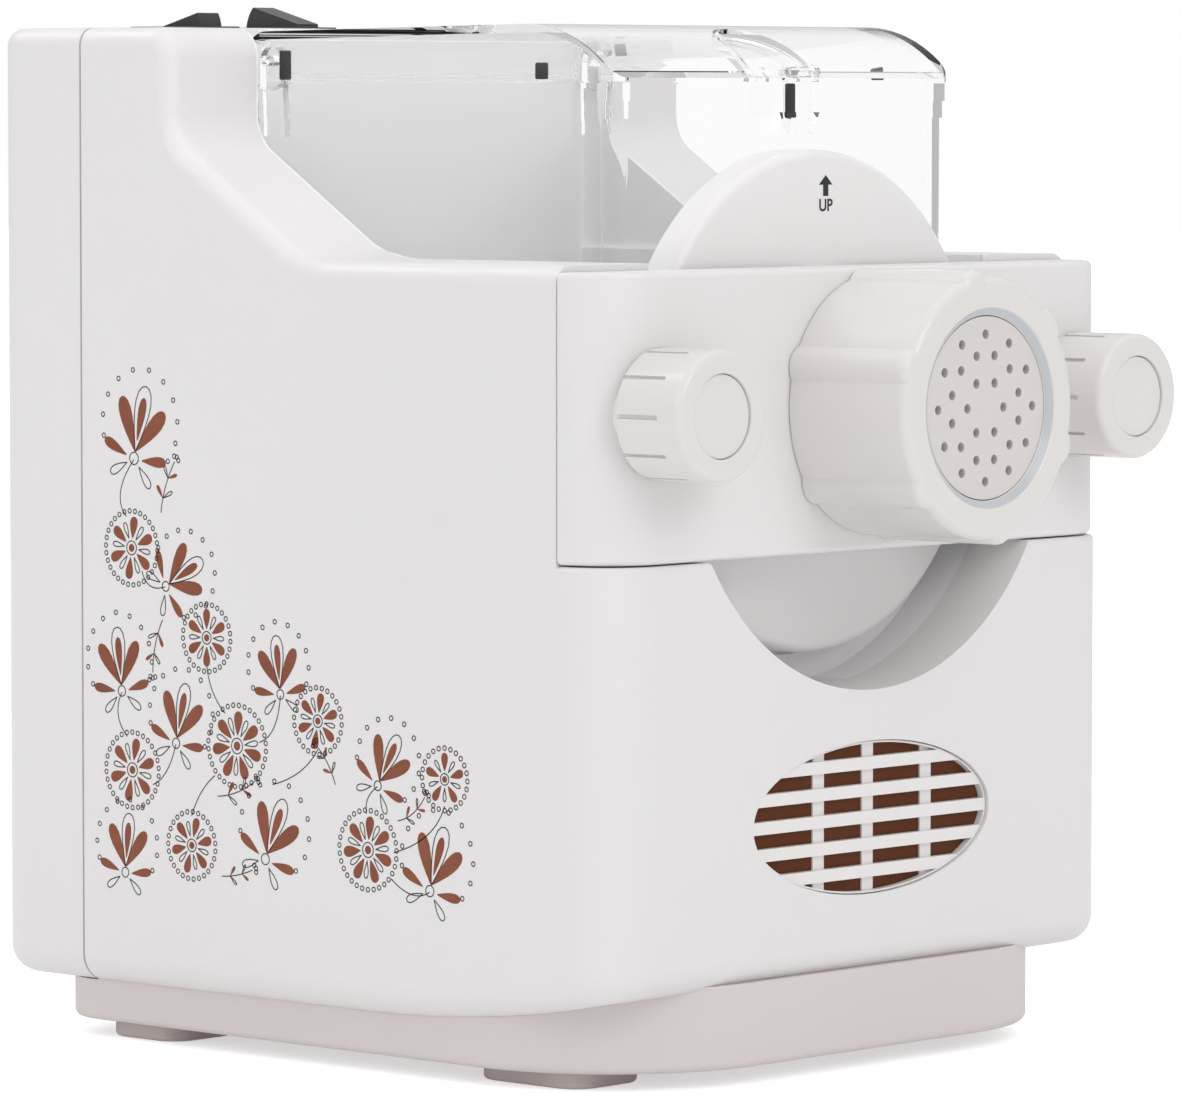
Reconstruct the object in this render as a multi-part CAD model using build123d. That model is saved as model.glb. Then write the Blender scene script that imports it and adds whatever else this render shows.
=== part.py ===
from build123d import *
import math
import os

os.makedirs("parts", exist_ok=True)

# Overall envelope, millimetres.  Depths count back from the front face of the body.
body_width = 207.0
body_depth = 232.5
rear_cover_length = 36.5
deck_height = 277.0
shoulder_height = 215.0
axis_height = 177.0
wall = 2.5
front_corner_radius = 18.0
ledge_corner_radius = 16.0
rear_corner_radius = 13.0
seam_gap = 0.1

# Side profile of the main housing
belly_height = 16.0
belly_front_height = 27.0
belly_rise_depth = 90.0
belly_edge_radius = 8.0
tower_room = 65.5
tower_lead = 6.0
ramp_run = 50.0
ramp_top_drop = 30.0
ramp_foot_radius = 34.0
ramp_top_radius = 12.0
tower_crown_radius = 8.0
side_edge_radius = 5.0
lip_edge_radius = 1.2

# Clamp panel across the front
panel_depth = 18.7
panel_drop = 38.8
panel_rise = 36.3
panel_gap = 0.4
panel_edge_radius = 1.6
panel_wall = 2.8

# Tub and its cradle
tub_half_width = 67.5
tub_wall = 2.5
tub_front_depth = 31.5
tub_rim_rise = 84.9
rim_half_width = 69.0
rim_height = 4.8
rim_step_half_width = 68.3
rim_step_height = 9.4
cradle_clearance = 0.8
cradle_rear_gap = 0.5
front_recess_gap = 9.0

# Lid
lid_gap = 0.3
lid_height = 15.5
lid_wall = 2.2
lid_crown_depth = 62.0
lid_nose_depth = 31.0
scoop_half_width = 12.5
scoop_length = 22.5
scoop_depth = 2.0
scoop_wall = 1.8
hinge_lead = 8.2
hinge_lift = 6.1
hinge_knuckle_radius = 8.0
hinge_pin_radius = 1.5
latch_width = 9.0
latch_length = 10.5
latch_thickness = 2.0

# Extruder head
head_radius = 67.2
head_front_depth = 20.0
head_rear_depth = 30.3
head_rim_radius = 2.5
gasket_thickness = 1.2
gasket_width = 4.0
tub_mouth_radius = 60.0
barrel_bore_radius = 25.5
barrel_radius = 33.0
barrel_thread_radius = 30.5
die_hole_radius = 1.3
die_radius = 28.5
die_thickness = 5.0

# Die nut
nut_gap = 0.3
nut_length = 39.7
nut_radius = 34.6
nut_lip_thickness = 3.5
nut_lip_radius = 24.3
nut_mouth_radius = 26.6
nut_mouth_depth = 1.9
nut_ridge_count = 6
nut_ridge_height = 2.0
nut_ridge_radius = 6.0
thread_clearance = 0.3

# Clamp knobs
knob_inner_reach = 66.5
knob_radius = 17.0
knob_length = 21.6
knob_cap_radius = 11.0
knob_cap_thickness = 1.5
knob_cap_recess = 0.8
knob_slit_count = 10
knob_slit_width = 1.2
knob_slit_depth = 0.9
knob_slit_share = 0.65
stud_radius = 3.0
stud_stroke = 12.0
insert_radius = 6.0
washer_radius = 11.0
washer_thickness = 1.2
running_clearance = 0.1
part_clearance = 0.3

# Front vent
vent_drop = 110.0
vent_half_width = 48.3
vent_half_height = 20.5
vent_inset = 1.0
vent_flange = 3.0
vent_rim = 0.8
vent_row_count = 6
vent_slot_pitch = 7.2
vent_bar_height = 3.3
vent_upright_width = 4.5
vent_upright_places = (-19.5, 0.5, 24.5)
screen_thickness = 1.0

# Base plinth and feet
foot_height = 4.7
plinth_side_inset = 5.5
plinth_rear_inset = 16.5
plinth_front_corner_radius = 52.0
plinth_rear_corner_radius = 18.0
plinth_wall = 3.0
rear_foot_size = (27.0, 28.0)
rear_foot_inset = (18.5, 31.0)
front_foot_size = (28.0, 38.0)
front_foot_inset = 24.0
front_foot_depth = 45.0
foot_corner_radius = 8.0

# Gear train: motor pinion, two-step intermediate gear, output gear
pressure_angle = 20.0
fast_module = 1.25
fast_pinion_teeth = 14
fast_gear_teeth = 62
slow_module = 1.75
slow_pinion_teeth = 14
slow_gear_teeth = 59
tooth_addendum = 0.8
tooth_dedendum = 1.05
tooth_backlash = 0.3
fast_gear_width = 10.0
slow_gear_width = 14.0
gearbox_wall = 3.0
gearbox_clearance = 2.5
gear_side_gap = 2.0

# Motor
motor_radius = 34.0
motor_gap = 20.0
motor_length = 92.0
motor_bell_thickness = 4.0
motor_can_wall = 2.5
magnet_thickness = 6.5
rotor_radius = 23.5
motor_shaft_radius = 4.0
fan_radius = 29.0
fan_width = 10.0

# Drive spindle and auger
spindle_radius = 7.9
hex_across_flats = 12.0
hex_clearance = 0.3
socket_radius = 11.0
auger_core_radius = 9.0
auger_pitch = 22.0
auger_turns = 3.5
auger_flight_thickness = 4.5
auger_clearance = 0.6
auger_tip_gap = 1.2
paddle_radius = 61.0
paddle_rod_radius = 4.0
paddle_count = 3

# Rocker switches on the deck
rocker_seam_lead = 13.0
rocker_side_insets = (27.5, 65.0)
rocker_axis_drop = 1.0
rocker_arc_radius = 10.2
rocker_width = 8.0
rocker_crown_rises = (2.6, 4.8)
rocker_skirt_drop = 3.0
rocker_tilt = 15.0
bezel_margin = 1.2
bezel_height = 0.4
switch_body_depth = 19.0

# Details of the head, die, knobs, tub and lid
die_ring_radii = (7.4, 14.1, 19.3)
die_ring_counts = (6, 12, 12)
die_ring_angles = (0.0, 15.0, 0.0)
die_spigot_length = 3.0
die_face_thickness = 2.5
die_relief_radius = 22.5
nut_ridge_start = 40.0
nut_edge_radius = 2.6
knob_edge_radius = 1.8
knob_seat_edge_radius = 0.5
stud_nut_across_flats = 10.0
stud_nut_thickness = 5.0
tub_corner_radius = 5.0
bush_radius = 15.0
bush_length = 6.0
hinge_ear_radius = 4.0
hinge_ear_inset = 2.0
lid_nose_overhang = 0.5
lid_brow_height = 1.0
lid_corner_radius = 5.0
latch_gap = 1.6
latch_barrel_radius = 1.6
latch_pin_radius = 0.8
latch_lug_width = 2.0
latch_lug_radius = 2.4
latch_hook_drop = 6.0
latch_hook_half_widths = (6.2, 3.4)
latch_hook_thickness = 3.4

# Details of the auger, the gear train and the motor
auger_heel_lap = 0.2
socket_depth = 16.0
socket_end_gap = 0.8
socket_collar = 3.0
paddle_near_depth = 58.0
paddle_end_gap = 4.0
paddle_hub_wall = 4.0
paddle_start_angle = 60.0
paddle_blade_width = 16.0
paddle_blade_thickness = 5.0
paddle_blade_height = 26.0
paddle_blade_radius = 4.0
paddle_blade_angle = 35.0
flank_step_count = 1
gear_rim = 5.0
gear_web_recess = 2.5
gearbox_lug_radius = 4.5
gearbox_top_screw_angles = (30.0, 90.0, 150.0)
gearbox_low_screw_angle = 20.0
gearbox_screw_radius = 1.6
gearbox_screw_head_radius = 3.2
bearing_radius = 11.0
axle_radius = 4.0
motor_bearing_radius = 7.5
motor_bearing_length = 8.0
bell_window_count = 6
bell_window_circle = 22.0
bell_window_radius = 6.0
magnet_gap = 12.0
rotor_slot_count = 12
rotor_slot_radius = 1.8
commutator_radius = 11.0
fan_gap = 4.0
fan_disc = 2.0
fan_blade = 1.6
fan_blade_count = 9
saddle_offsets = (44.0, 78.0)
saddle_half_width = 30.0
saddle_half_length = 7.0

# Details of the electrics
vent_flange_thickness = 1.8
board_parts = ((-30.0, 4.0, 18.0, 24.0, 13.0), (0.0, 10.0, 14.0, 18.0, 12.0), (0.0, -14.0, 20.0, 12.0, 9.0),
               (28.0, 0.0, 16.0, 34.0, 10.0))
board_screw_radius = 1.5
interlock_side = 50.0
interlock_deck_drop = 14.0
interlock_width = 20.0
interlock_height = 10.0
interlock_thickness = 6.5
inlet_depth = 20.0
inlet_bezel_inset = 0.6
inlet_cavity_width = 16.0
inlet_cavity_height = 9.0
inlet_pin_offset = 4.3
inlet_pin_radius = 1.2
rocker_pin_radius = 1.2

# Fasteners and fittings of the shells
cover_screw_inset = 19.5
cover_screw_belly_rise = 20.0
cover_screw_deck_drop = 39.0
cover_screw_radius = 1.8
cover_screw_head_radius = 3.6
cover_screw_head_height = 2.6
cover_boss_radius = 4.5
cover_boss_length = 16.0
base_screw_places = ((-60.0, 120.0), (60.0, 120.0), (-50.0, 30.0), (50.0, 30.0))
base_screw_radius = 2.0
base_screw_head_radius = 4.0
base_screw_head_height = 3.0
base_boss_radius = 6.0
plinth_edge_radius = 2.0
plinth_rib = 2.0
plinth_rib_places = (-30.0, 30.0)
foot_edge_radius = 1.2
louvre_count = 7
louvre_pitch = 8.0
louvre_low_height = 62.0
louvre_width = 88.0
louvre_slot_height = 3.4
inlet_width = 24.0
inlet_height = 17.0
inlet_corner_radius = 3.0
inlet_side_inset = 41.5
inlet_rise = -126.0
board_gap = 5.0
board_thickness = 1.6
board_width = 92.0
board_height = 54.0
board_deck_drop = 23.0
board_post_radius = 3.0
board_post_inset = 6.0

# Values worked out from the above
nut_reach = nut_gap + nut_length
front_y = nut_reach - (nut_reach + body_depth) / 2
half_width = body_width / 2
seam_depth = body_depth - rear_cover_length
tub_rear_depth = body_depth - tower_room
tower_front_depth = tub_rear_depth - tower_lead
ramp_foot_depth = tower_front_depth - ramp_run
ramp_top_height = deck_height - ramp_top_drop
plinth_half_width = half_width - plinth_side_inset
plinth_rear_depth = body_depth - plinth_rear_inset
rear_foot_centre = (plinth_half_width - rear_foot_inset[0], plinth_rear_depth - rear_foot_inset[1])
front_foot_centre = (plinth_half_width - front_foot_inset, front_foot_depth)
cover_screw_offset = half_width - cover_screw_inset
cover_screw_heights = (belly_height + cover_screw_belly_rise, deck_height - cover_screw_deck_drop)
knob_offset = (half_width + knob_inner_reach) / 2
front_recess_radius = knob_offset - front_recess_gap
inlet_offset = inlet_side_inset - half_width
die_front_depth = -nut_gap - nut_length + nut_lip_thickness + part_clearance
barrel_front_depth = die_front_depth + die_thickness + part_clearance
stud_tip_depth = -nut_gap - stud_stroke
lid_crown_rise = tub_rim_rise + lid_height
hinge_axis_depth = tub_rear_depth - hinge_lead
hinge_axis_rise = tub_rim_rise + hinge_lift
auger_tip_depth = die_front_depth + die_thickness + die_spigot_length + auger_tip_gap
auger_heel_depth = tub_rear_depth + auger_heel_lap
paddle_far_depth = tub_rear_depth - bush_length - socket_collar - paddle_end_gap
spindle_nose_depth = auger_heel_depth - socket_depth + socket_end_gap
latch_rear_depth = tub_front_depth - rim_half_width + tub_half_width - lid_gap - latch_gap
latch_axis_depth = latch_rear_depth - latch_thickness / 2 + part_clearance
latch_axis_rise = tub_rim_rise + lid_gap + latch_lug_radius
stud_root_depth = panel_depth + panel_gap + wall + stud_nut_thickness + 2 * stud_radius
rocker_centre_depth = seam_depth - rocker_seam_lead
rocker_centres = [inset - half_width for inset in rocker_side_insets]
rocker_axis_height = deck_height - rocker_axis_drop
fast_centre_distance = fast_module * (fast_pinion_teeth + fast_gear_teeth) / 2
slow_centre_distance = slow_module * (slow_pinion_teeth + slow_gear_teeth) / 2
layshaft_rise = -slow_centre_distance
motor_rise = layshaft_rise - fast_centre_distance
gearbox_front_depth = tub_rear_depth + cradle_rear_gap + wall
motor_rear_depth = gearbox_front_depth - motor_gap
motor_front_depth = motor_rear_depth - motor_length
fan_near_depth = motor_front_depth - fan_gap - fan_width
fast_depth = gearbox_front_depth + gearbox_wall + gear_side_gap
slow_depth = fast_depth + fast_gear_width + gear_side_gap
gearbox_split_depth = slow_depth + slow_gear_width + gear_side_gap
gearbox_rear_depth = gearbox_split_depth + gearbox_wall
board_depth = gearbox_rear_depth + gearbox_wall + board_gap
board_rise = deck_height - axis_height - board_height / 2 - board_deck_drop
interlock_rise = deck_height - axis_height - interlock_deck_drop
rocker_pin_reach = rocker_width / 2 + bezel_margin
switch_half_width = rocker_width / 2 + 2 * bezel_margin
switch_half_length = rocker_arc_radius + 2 * bezel_margin - part_clearance


def y_at(depth):
    """Y of a depth behind the front face."""
    return front_y + depth


def z_at(rise):
    """Z of a height above the common axis."""
    return axis_height + rise


def facing_front(depth):
    """Plane that looks forwards at a depth, local x to the right and local y up, on the common axis."""
    return Plane(origin=(0, y_at(depth), axis_height), x_dir=(1, 0, 0), z_dir=(0, -1, 0))


def along_depth(sketch, near, far):
    """Sketch drawn about the common axis, extruded between two depths."""
    return extrude(facing_front(far) * sketch, amount=far - near)


def across(sketch, reach, centre=0.0):
    """Side sketch of depth and height, extruded to both sides of centre."""
    return Pos(centre, 0, 0) * extrude(Plane.YZ * sketch, amount=reach, both=True)


def block(x_low, x_high, near, far, z_low, z_high):
    """Box between two sides, two depths and two heights."""
    size = (x_high - x_low, far - near, z_high - z_low)
    centre = ((x_high + x_low) / 2, y_at((near + far) / 2), (z_high + z_low) / 2)
    return Pos(*centre) * Box(*size)


def rod(radius, near, far, x=0.0, rise=0.0):
    """Cylinder along the depth, at x and rise from the common axis."""
    return along_depth(Pos(x, rise) * Circle(radius), near, far)


def pin_across(radius, x_low, x_high, depth, height):
    """Cylinder from side to side."""
    plane = Plane(origin=(x_low, y_at(depth), height), x_dir=(0, 1, 0), z_dir=(1, 0, 0))
    return extrude(plane * Circle(radius), amount=x_high - x_low)


def post(radius, z_low, z_high, x, depth):
    """Upright cylinder."""
    return extrude(Plane.XY.offset(z_low) * Pos(x, y_at(depth)) * Circle(radius), amount=z_high - z_low)


def both_sides(shape):
    """The shape and its mirror image."""
    return [shape, mirror(shape, about=Plane.YZ)]


def write(name, shapes):
    """Write one node, given as a solid or a list of separate solids."""
    solids = []
    for shape in shapes if isinstance(shapes, list) else [shapes]:
        solids.extend(shape.solids())
    export_step(solids[0] if len(solids) == 1 else Compound(children=solids), f"parts/{name}.step")


# ---------------------------------------------------------------- housing shells

def side_profile(inset, rear):
    """Side outline of the main housing up to a rear depth, drawn in Y and Z, moved inwards by inset."""
    panel_floor = z_at(-panel_drop) - panel_gap
    step_depth = panel_depth + panel_gap
    outline = Polyline(
        (y_at(0), belly_front_height),
        (y_at(0), panel_floor),
        (y_at(step_depth), panel_floor),
        (y_at(step_depth), shoulder_height),
        (y_at(ramp_foot_depth), shoulder_height),
        (y_at(tower_front_depth), ramp_top_height),
        (y_at(tower_front_depth), deck_height),
        (y_at(rear), deck_height),
        (y_at(rear), belly_height),
        (y_at(belly_rise_depth), belly_height),
    )
    belly = TangentArc((y_at(belly_rise_depth), belly_height), (y_at(0), belly_front_height), tangent=(-1, 0))
    face = make_face(outline.edges() + belly.edges())
    face = round_corner(face, ramp_foot_depth, shoulder_height, ramp_foot_radius)
    face = round_corner(face, tower_front_depth, ramp_top_height, ramp_top_radius)
    face = round_corner(face, tower_front_depth, deck_height, tower_crown_radius)
    return offset(face, amount=-inset, kind=Kind.INTERSECTION) if inset else face


def round_corner(face, depth, height, radius):
    """Round the outline's corner nearest to a depth and height."""
    corner = face.vertices().sort_by_distance((y_at(depth), height, 0))[0]
    return fillet(corner, radius)


def housing_form(inset=0.0, rear=seam_depth):
    """Solid inside the housing's skin up to a rear depth, moved inwards by inset."""
    body = across(side_profile(inset, rear), half_width - inset)
    upright = body.edges().filter_by(Axis.Z).group_by(Axis.Y)[0]
    body = fillet(upright, ledge_corner_radius - inset)
    if not inset:
        under_panel = (0, y_at(panel_depth / 2), z_at(-panel_drop))
        ledge = body.faces().filter_by(Axis.Z).sort_by_distance(under_panel)[0]
        rim = ledge.edges().filter_by(lambda edge: edge.center().Y < y_at(panel_depth) - panel_gap)
        body = fillet(rim, lip_edge_radius)
    crosswise = body.edges().filter_by(Axis.X)
    front_sill = crosswise.sort_by_distance((0, y_at(0), belly_front_height))[0:1]
    low = body.edges().filter_by(lambda edge: edge.center().Z < belly_front_height + inset)
    body = fillet(low - crosswise + front_sill, belly_edge_radius - inset)
    flank = body.edges().filter_by(lambda edge: on_flank(edge, inset))
    return fillet(flank, side_edge_radius - inset)


def on_flank(edge, inset):
    """Whether an edge runs along the top outline of a flank, from the shoulder to the deck."""
    middle = edge.center()
    beside = abs(abs(middle.X) - half_width + inset) < side_edge_radius / 10
    between = y_at(panel_depth + panel_gap + inset) < middle.Y < y_at(seam_depth) - wall
    return beside and between and middle.Z > shoulder_height - wall - inset


def cradle_space(grow):
    """Space that the tub, the head and the lid take out of the housing, grown by the wall."""
    trough = tub_half_width + cradle_clearance + grow
    rear = tub_rear_depth + cradle_rear_gap + grow
    above = deck_height + wall
    space = rod(trough, -wall, rear)
    space += block(-trough, trough, -wall, rear, axis_height, above)
    lid_half = rim_half_width + cradle_clearance + grow
    space += block(-lid_half, lid_half, ramp_foot_depth, rear, shoulder_height + grow, above)
    space += rod(front_recess_radius + grow, -wall, tub_front_depth + grow)
    return space


def in_plan(width, length, radius, x, depth):
    """Rounded rectangle in plan about x and a depth."""
    return Pos(x, y_at(depth)) * RectangleRounded(width, length, radius)


def rear_cover_form(inset):
    """Solid inside the rear cover's skin, open towards the front, moved inwards by inset."""
    near = seam_depth + seam_gap - 2 * inset
    far = body_depth - inset
    low = belly_height + inset
    body = block(inset - half_width, half_width - inset, near, far, low, deck_height - inset)
    upright = body.edges().filter_by(Axis.Z).group_by(Axis.Y)[-1]
    body = fillet(upright, rear_corner_radius - inset)
    faces = body.faces().filter_by(Axis.Z)
    floor_edges = faces.sort_by(Axis.Z)[0].edges() - body.edges().filter_by(Axis.X).group_by(Axis.Y)[0]
    body = fillet(floor_edges, belly_edge_radius - inset)
    crown = body.faces().filter_by(Axis.Z).sort_by(Axis.Z)[-1]
    crown_edges = crown.edges() - body.edges().filter_by(Axis.X).group_by(Axis.Y)[0]
    return fillet(crown_edges, side_edge_radius - inset)


def vent_outline(grow=0.0):
    """Oval of the front vent, about its own centre."""
    return Ellipse(vent_half_width + grow, vent_half_height + grow)


def stud_places():
    """Sides of the two clamp studs."""
    return (-knob_offset, knob_offset)


def cover_screw_places():
    """Sides and heights of the four rear cover screws."""
    return [(side * cover_screw_offset, height) for side in (-1, 1) for height in cover_screw_heights]


def make_main_housing():
    """Moulded shell with the cradle, side arms, tower and the openings of its fittings."""
    inner = housing_form(wall, seam_depth + 2 * wall) - cradle_space(wall)
    shell = housing_form() - cradle_space(0) - inner
    shell -= along_depth(Pos(0, -vent_drop) * vent_outline(), -wall, 2 * wall)
    for x in stud_places():
        shell -= rod(stud_radius + running_clearance, panel_depth, panel_depth + 3 * wall, x)
    shell -= rod(spindle_radius + 2 * part_clearance, tub_rear_depth, tub_rear_depth + 3 * wall)
    cut = Rectangle(2 * (switch_half_width + part_clearance), 2 * (switch_half_length + part_clearance))
    for x in rocker_centres:
        shell -= extrude(Plane.XY.offset(deck_height - 2 * wall) * Pos(x, y_at(rocker_centre_depth)) * cut,
                         amount=4 * wall)
    for x, height in cover_screw_places():
        shell += cover_screw_boss(x, height)
    for x, depth in base_screw_places:
        shell -= post(base_screw_radius + part_clearance, 0, belly_front_height, x, depth)
    return shell


def cover_screw_boss(x, height):
    """Boss on the housing's side wall that takes one rear cover screw."""
    near = seam_depth - cover_boss_length
    rise = height - axis_height
    side = math.copysign(1, x)
    boss = rod(cover_boss_radius, near, seam_depth, x, rise)
    edges = sorted((x, side * (half_width - wall / 2)))
    boss += block(*edges, near, seam_depth, height - wall, height + wall)
    return boss - rod(cover_screw_radius + running_clearance, near + wall, seam_depth, x, rise)


def make_rear_cover():
    """Rear shell of the tower with louvre slots, the inlet opening and its screw posts."""
    shell = rear_cover_form(0) - rear_cover_form(wall)
    inner_rear = body_depth - wall
    for x, height in cover_screw_places():
        rise = height - axis_height
        shell += rod(cover_boss_radius, seam_depth + part_clearance, inner_rear + wall / 2, x, rise)
        shell -= rod(cover_screw_radius + running_clearance, seam_depth, body_depth + wall, x, rise)
        head_depth = body_depth - cover_screw_head_height
        shell -= rod(cover_screw_head_radius + part_clearance, head_depth, body_depth + wall, x, rise)
    for row in range(louvre_count):
        rise = louvre_low_height + row * louvre_pitch - axis_height
        slot = Pos(0, rise) * SlotOverall(louvre_width, louvre_slot_height)
        shell -= along_depth(slot, inner_rear - wall, body_depth + wall)
    hole = RectangleRounded(inlet_width, inlet_height, inlet_corner_radius)
    shell -= along_depth(Pos(inlet_offset, inlet_rise) * hole, inner_rear - wall, body_depth + wall)
    for x, rise in board_post_places():
        shell += rod(board_post_radius, board_depth + board_thickness, inner_rear + wall / 2, x, rise)
    return shell


def make_base_plinth():
    """Shallow tray under the housing, bowed at the front, with ribs and screw holes."""
    def tray(inset, low):
        length = plinth_rear_depth - 2 * inset
        shape = Pos(0, y_at(plinth_rear_depth / 2)) * Rectangle(2 * (plinth_half_width - inset), length)
        front = shape.vertices().group_by(Axis.Y)[0]
        shape = fillet(front, plinth_front_corner_radius - inset)
        rear = shape.vertices().group_by(Axis.Y)[-1]
        shape = fillet(rear, plinth_rear_corner_radius - inset)
        return extrude(Plane.XY.offset(low) * shape, amount=belly_front_height - low)

    plinth = tray(0, foot_height)
    sole = plinth.faces().sort_by(Axis.Z)[0]
    plinth = fillet(sole.edges(), plinth_edge_radius)
    plinth -= tray(plinth_wall, foot_height + plinth_wall)
    rib_rear = plinth_rear_depth - plinth_wall / 2
    for x in plinth_rib_places:
        plinth += block(x - plinth_rib / 2, x + plinth_rib / 2, plinth_wall, rib_rear,
                        foot_height + plinth_wall / 2, belly_front_height)
    for x, depth in base_screw_places:
        plinth += post(base_boss_radius, foot_height + plinth_wall / 2, belly_front_height, x, depth)
    plinth -= housing_clearance_form()
    for x, depth in base_screw_places:
        plinth -= post(base_screw_radius + running_clearance, 0, belly_front_height, x, depth)
        head_top = foot_height + base_screw_head_height
        plinth -= post(base_screw_head_radius + part_clearance, 0, head_top, x, depth)
    return plinth


def housing_clearance_form():
    """Space over the plinth that belongs to the housing and the rear cover."""
    cover = block(-half_width, half_width, seam_depth, body_depth, belly_height, belly_front_height + wall)
    return housing_form() + cover


def make_feet(size, centre):
    """Pair of pads under the plinth, as separate solids."""
    x, depth = centre
    pad = extrude(in_plan(*size, foot_corner_radius, x, depth), amount=foot_height)
    pad = fillet(pad.faces().sort_by(Axis.Z)[0].edges(), foot_edge_radius)
    return both_sides(pad)


def board_post_places():
    """Sides and rises of the four posts that carry the control board."""
    reach = board_width / 2 - board_post_inset
    climb = board_height / 2 - board_post_inset
    return [(x, board_rise + z) for x in (-reach, reach) for z in (-climb, climb)]


# ---------------------------------------------------------------- clamp panel, head and die

def make_clamp_panel():
    """Bar across the front, hollow from behind, with a ring that bears on the head and two knob bosses."""
    low, high = -panel_drop, panel_rise
    middle, climb = (low + high) / 2, high - low
    bar = along_depth(Pos(0, middle) * Rectangle(body_width, climb), 0, panel_depth)
    corners = bar.edges().filter_by(Axis.Z).group_by(Axis.Y)[0]
    bar = fillet(corners, front_corner_radius)
    rims = bar.faces().sort_by(Axis.Z)
    front_rims = (rims[0].edges() + rims[-1].edges()) - bar.edges().filter_by(Axis.X).group_by(Axis.Y)[-1]
    front_rims = front_rims.filter_by(lambda edge: edge.center().Y < y_at(panel_depth) - part_clearance)
    bar = fillet(front_rims, panel_edge_radius)
    pocket = along_depth(Pos(0, middle) * Rectangle(body_width - 2 * panel_wall, climb - 2 * panel_wall),
                         panel_wall, panel_depth + wall)
    inner_corners = pocket.edges().filter_by(Axis.Z).group_by(Axis.Y)[0]
    bar -= fillet(inner_corners, front_corner_radius - panel_wall)
    bar += rod(barrel_radius + part_clearance + panel_wall, panel_wall / 2, head_front_depth)
    for x in stud_places():
        bar += rod(washer_radius + part_clearance + panel_wall / 2, panel_wall / 2, panel_depth, x)
    for rise in (low / 2, high / 2):
        bar += block(-knob_offset, knob_offset, panel_wall / 2, panel_depth - panel_wall,
                     z_at(rise) - panel_wall / 4, z_at(rise) + panel_wall / 4)
    bar -= rod(barrel_radius + part_clearance, -wall, head_front_depth + wall)
    for x in stud_places():
        bar -= rod(stud_radius + part_clearance, -wall, head_front_depth, x)
        bar -= rod(washer_radius + part_clearance, -wall, washer_thickness, x)
    return bar


def make_extruder_head():
    """Round plate that closes the tub, with a funnel behind and the barrel in front, in one moulding."""
    plate = rod(head_radius, head_front_depth, head_rear_depth)
    plate = fillet(plate.edges().sort_by(Axis.Y)[0], head_rim_radius)
    spigot_end = tub_front_depth + tub_wall
    plate += rod(tub_mouth_radius - part_clearance, head_rear_depth - wall, spigot_end)
    plate += rod(barrel_radius, part_clearance, head_front_depth + wall)
    plate += rod(barrel_thread_radius, barrel_front_depth, wall)
    plate -= rod(barrel_bore_radius, barrel_front_depth - wall, spigot_end + wall)
    funnel_mouth = tub_mouth_radius - wall - part_clearance
    funnel = Cone(barrel_bore_radius, funnel_mouth, spigot_end - head_front_depth - 2 * wall)
    funnel_middle = y_at((spigot_end + head_front_depth + 2 * wall) / 2)
    return plate - Pos(0, funnel_middle, axis_height) * Rot(-90, 0, 0) * funnel


def make_head_gasket():
    """Flat ring between the plate and the tub's mouth."""
    outer = tub_mouth_radius + gasket_width
    ring = Circle(outer) - Circle(tub_mouth_radius)
    return along_depth(ring, tub_front_depth - gasket_thickness, tub_front_depth)


def die_hole_centres():
    """Centres of the round noodle holes, on three rings about the axis."""
    centres = []
    for ring_radius, count, start in zip(die_ring_radii, die_ring_counts, die_ring_angles):
        for index in range(count):
            angle = math.radians(start + index * 360 / count)
            centres.append((ring_radius * math.cos(angle), ring_radius * math.sin(angle)))
    return centres


def make_die_plate():
    """Perforated disc with a raised face in front and a spigot that centres it in the barrel."""
    near = die_front_depth
    far = near + die_thickness
    face = -nut_gap - nut_length + nut_mouth_depth
    plate = rod(die_radius, near, far) + rod(nut_lip_radius - part_clearance, face, far)
    plate += rod(barrel_bore_radius - part_clearance, far - wall, far + die_spigot_length)
    holes = Sketch() + [Pos(x, z) * Circle(die_hole_radius) for x, z in die_hole_centres()]
    relief = Circle(die_relief_radius)
    plate -= along_depth(relief, near + die_face_thickness, far + die_spigot_length + wall)
    return plate - along_depth(holes, face - wall, far + die_spigot_length + wall)


def make_die_nut():
    """Ring nut with rounded grip ridges, bored for the barrel and lipped in front to hold the die."""
    grip = Circle(nut_radius)
    for index in range(nut_ridge_count):
        angle = math.radians(nut_ridge_start + index * 360 / nut_ridge_count)
        reach = nut_radius + nut_ridge_height - nut_ridge_radius
        grip += Pos(reach * math.cos(angle), reach * math.sin(angle)) * Circle(nut_ridge_radius)
    front, rear = -nut_gap - nut_length, -nut_gap
    nut = along_depth(grip, front, rear)
    front_edges = nut.faces().sort_by(Axis.Y)[0].edges()
    nut = fillet(front_edges, nut_edge_radius)
    nut -= rod(barrel_thread_radius + thread_clearance, front + nut_lip_thickness, rear + wall)
    mouth = Cone(nut_mouth_radius, nut_lip_radius, nut_mouth_depth)
    nut -= Pos(0, y_at(front + nut_mouth_depth / 2), axis_height) * Rot(-90, 0, 0) * mouth
    return nut - rod(nut_lip_radius, front - wall, rear)


def make_clamp_stud(x):
    """Threaded stud that stands out of the side arm, as a plain shank."""
    return rod(stud_radius, stud_tip_depth, stud_root_depth, x)


def make_stud_nut(x):
    """Hexagon nut on the stud behind the arm's front wall."""
    near = panel_depth + panel_gap + wall
    profile = RegularPolygon(stud_nut_across_flats / 2, 6, major_radius=False, rotation=30)
    hexagon = along_depth(Pos(x, 0) * profile, near, near + stud_nut_thickness)
    return hexagon - rod(stud_radius + running_clearance, near - wall, near + 2 * stud_nut_thickness, x)


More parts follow.
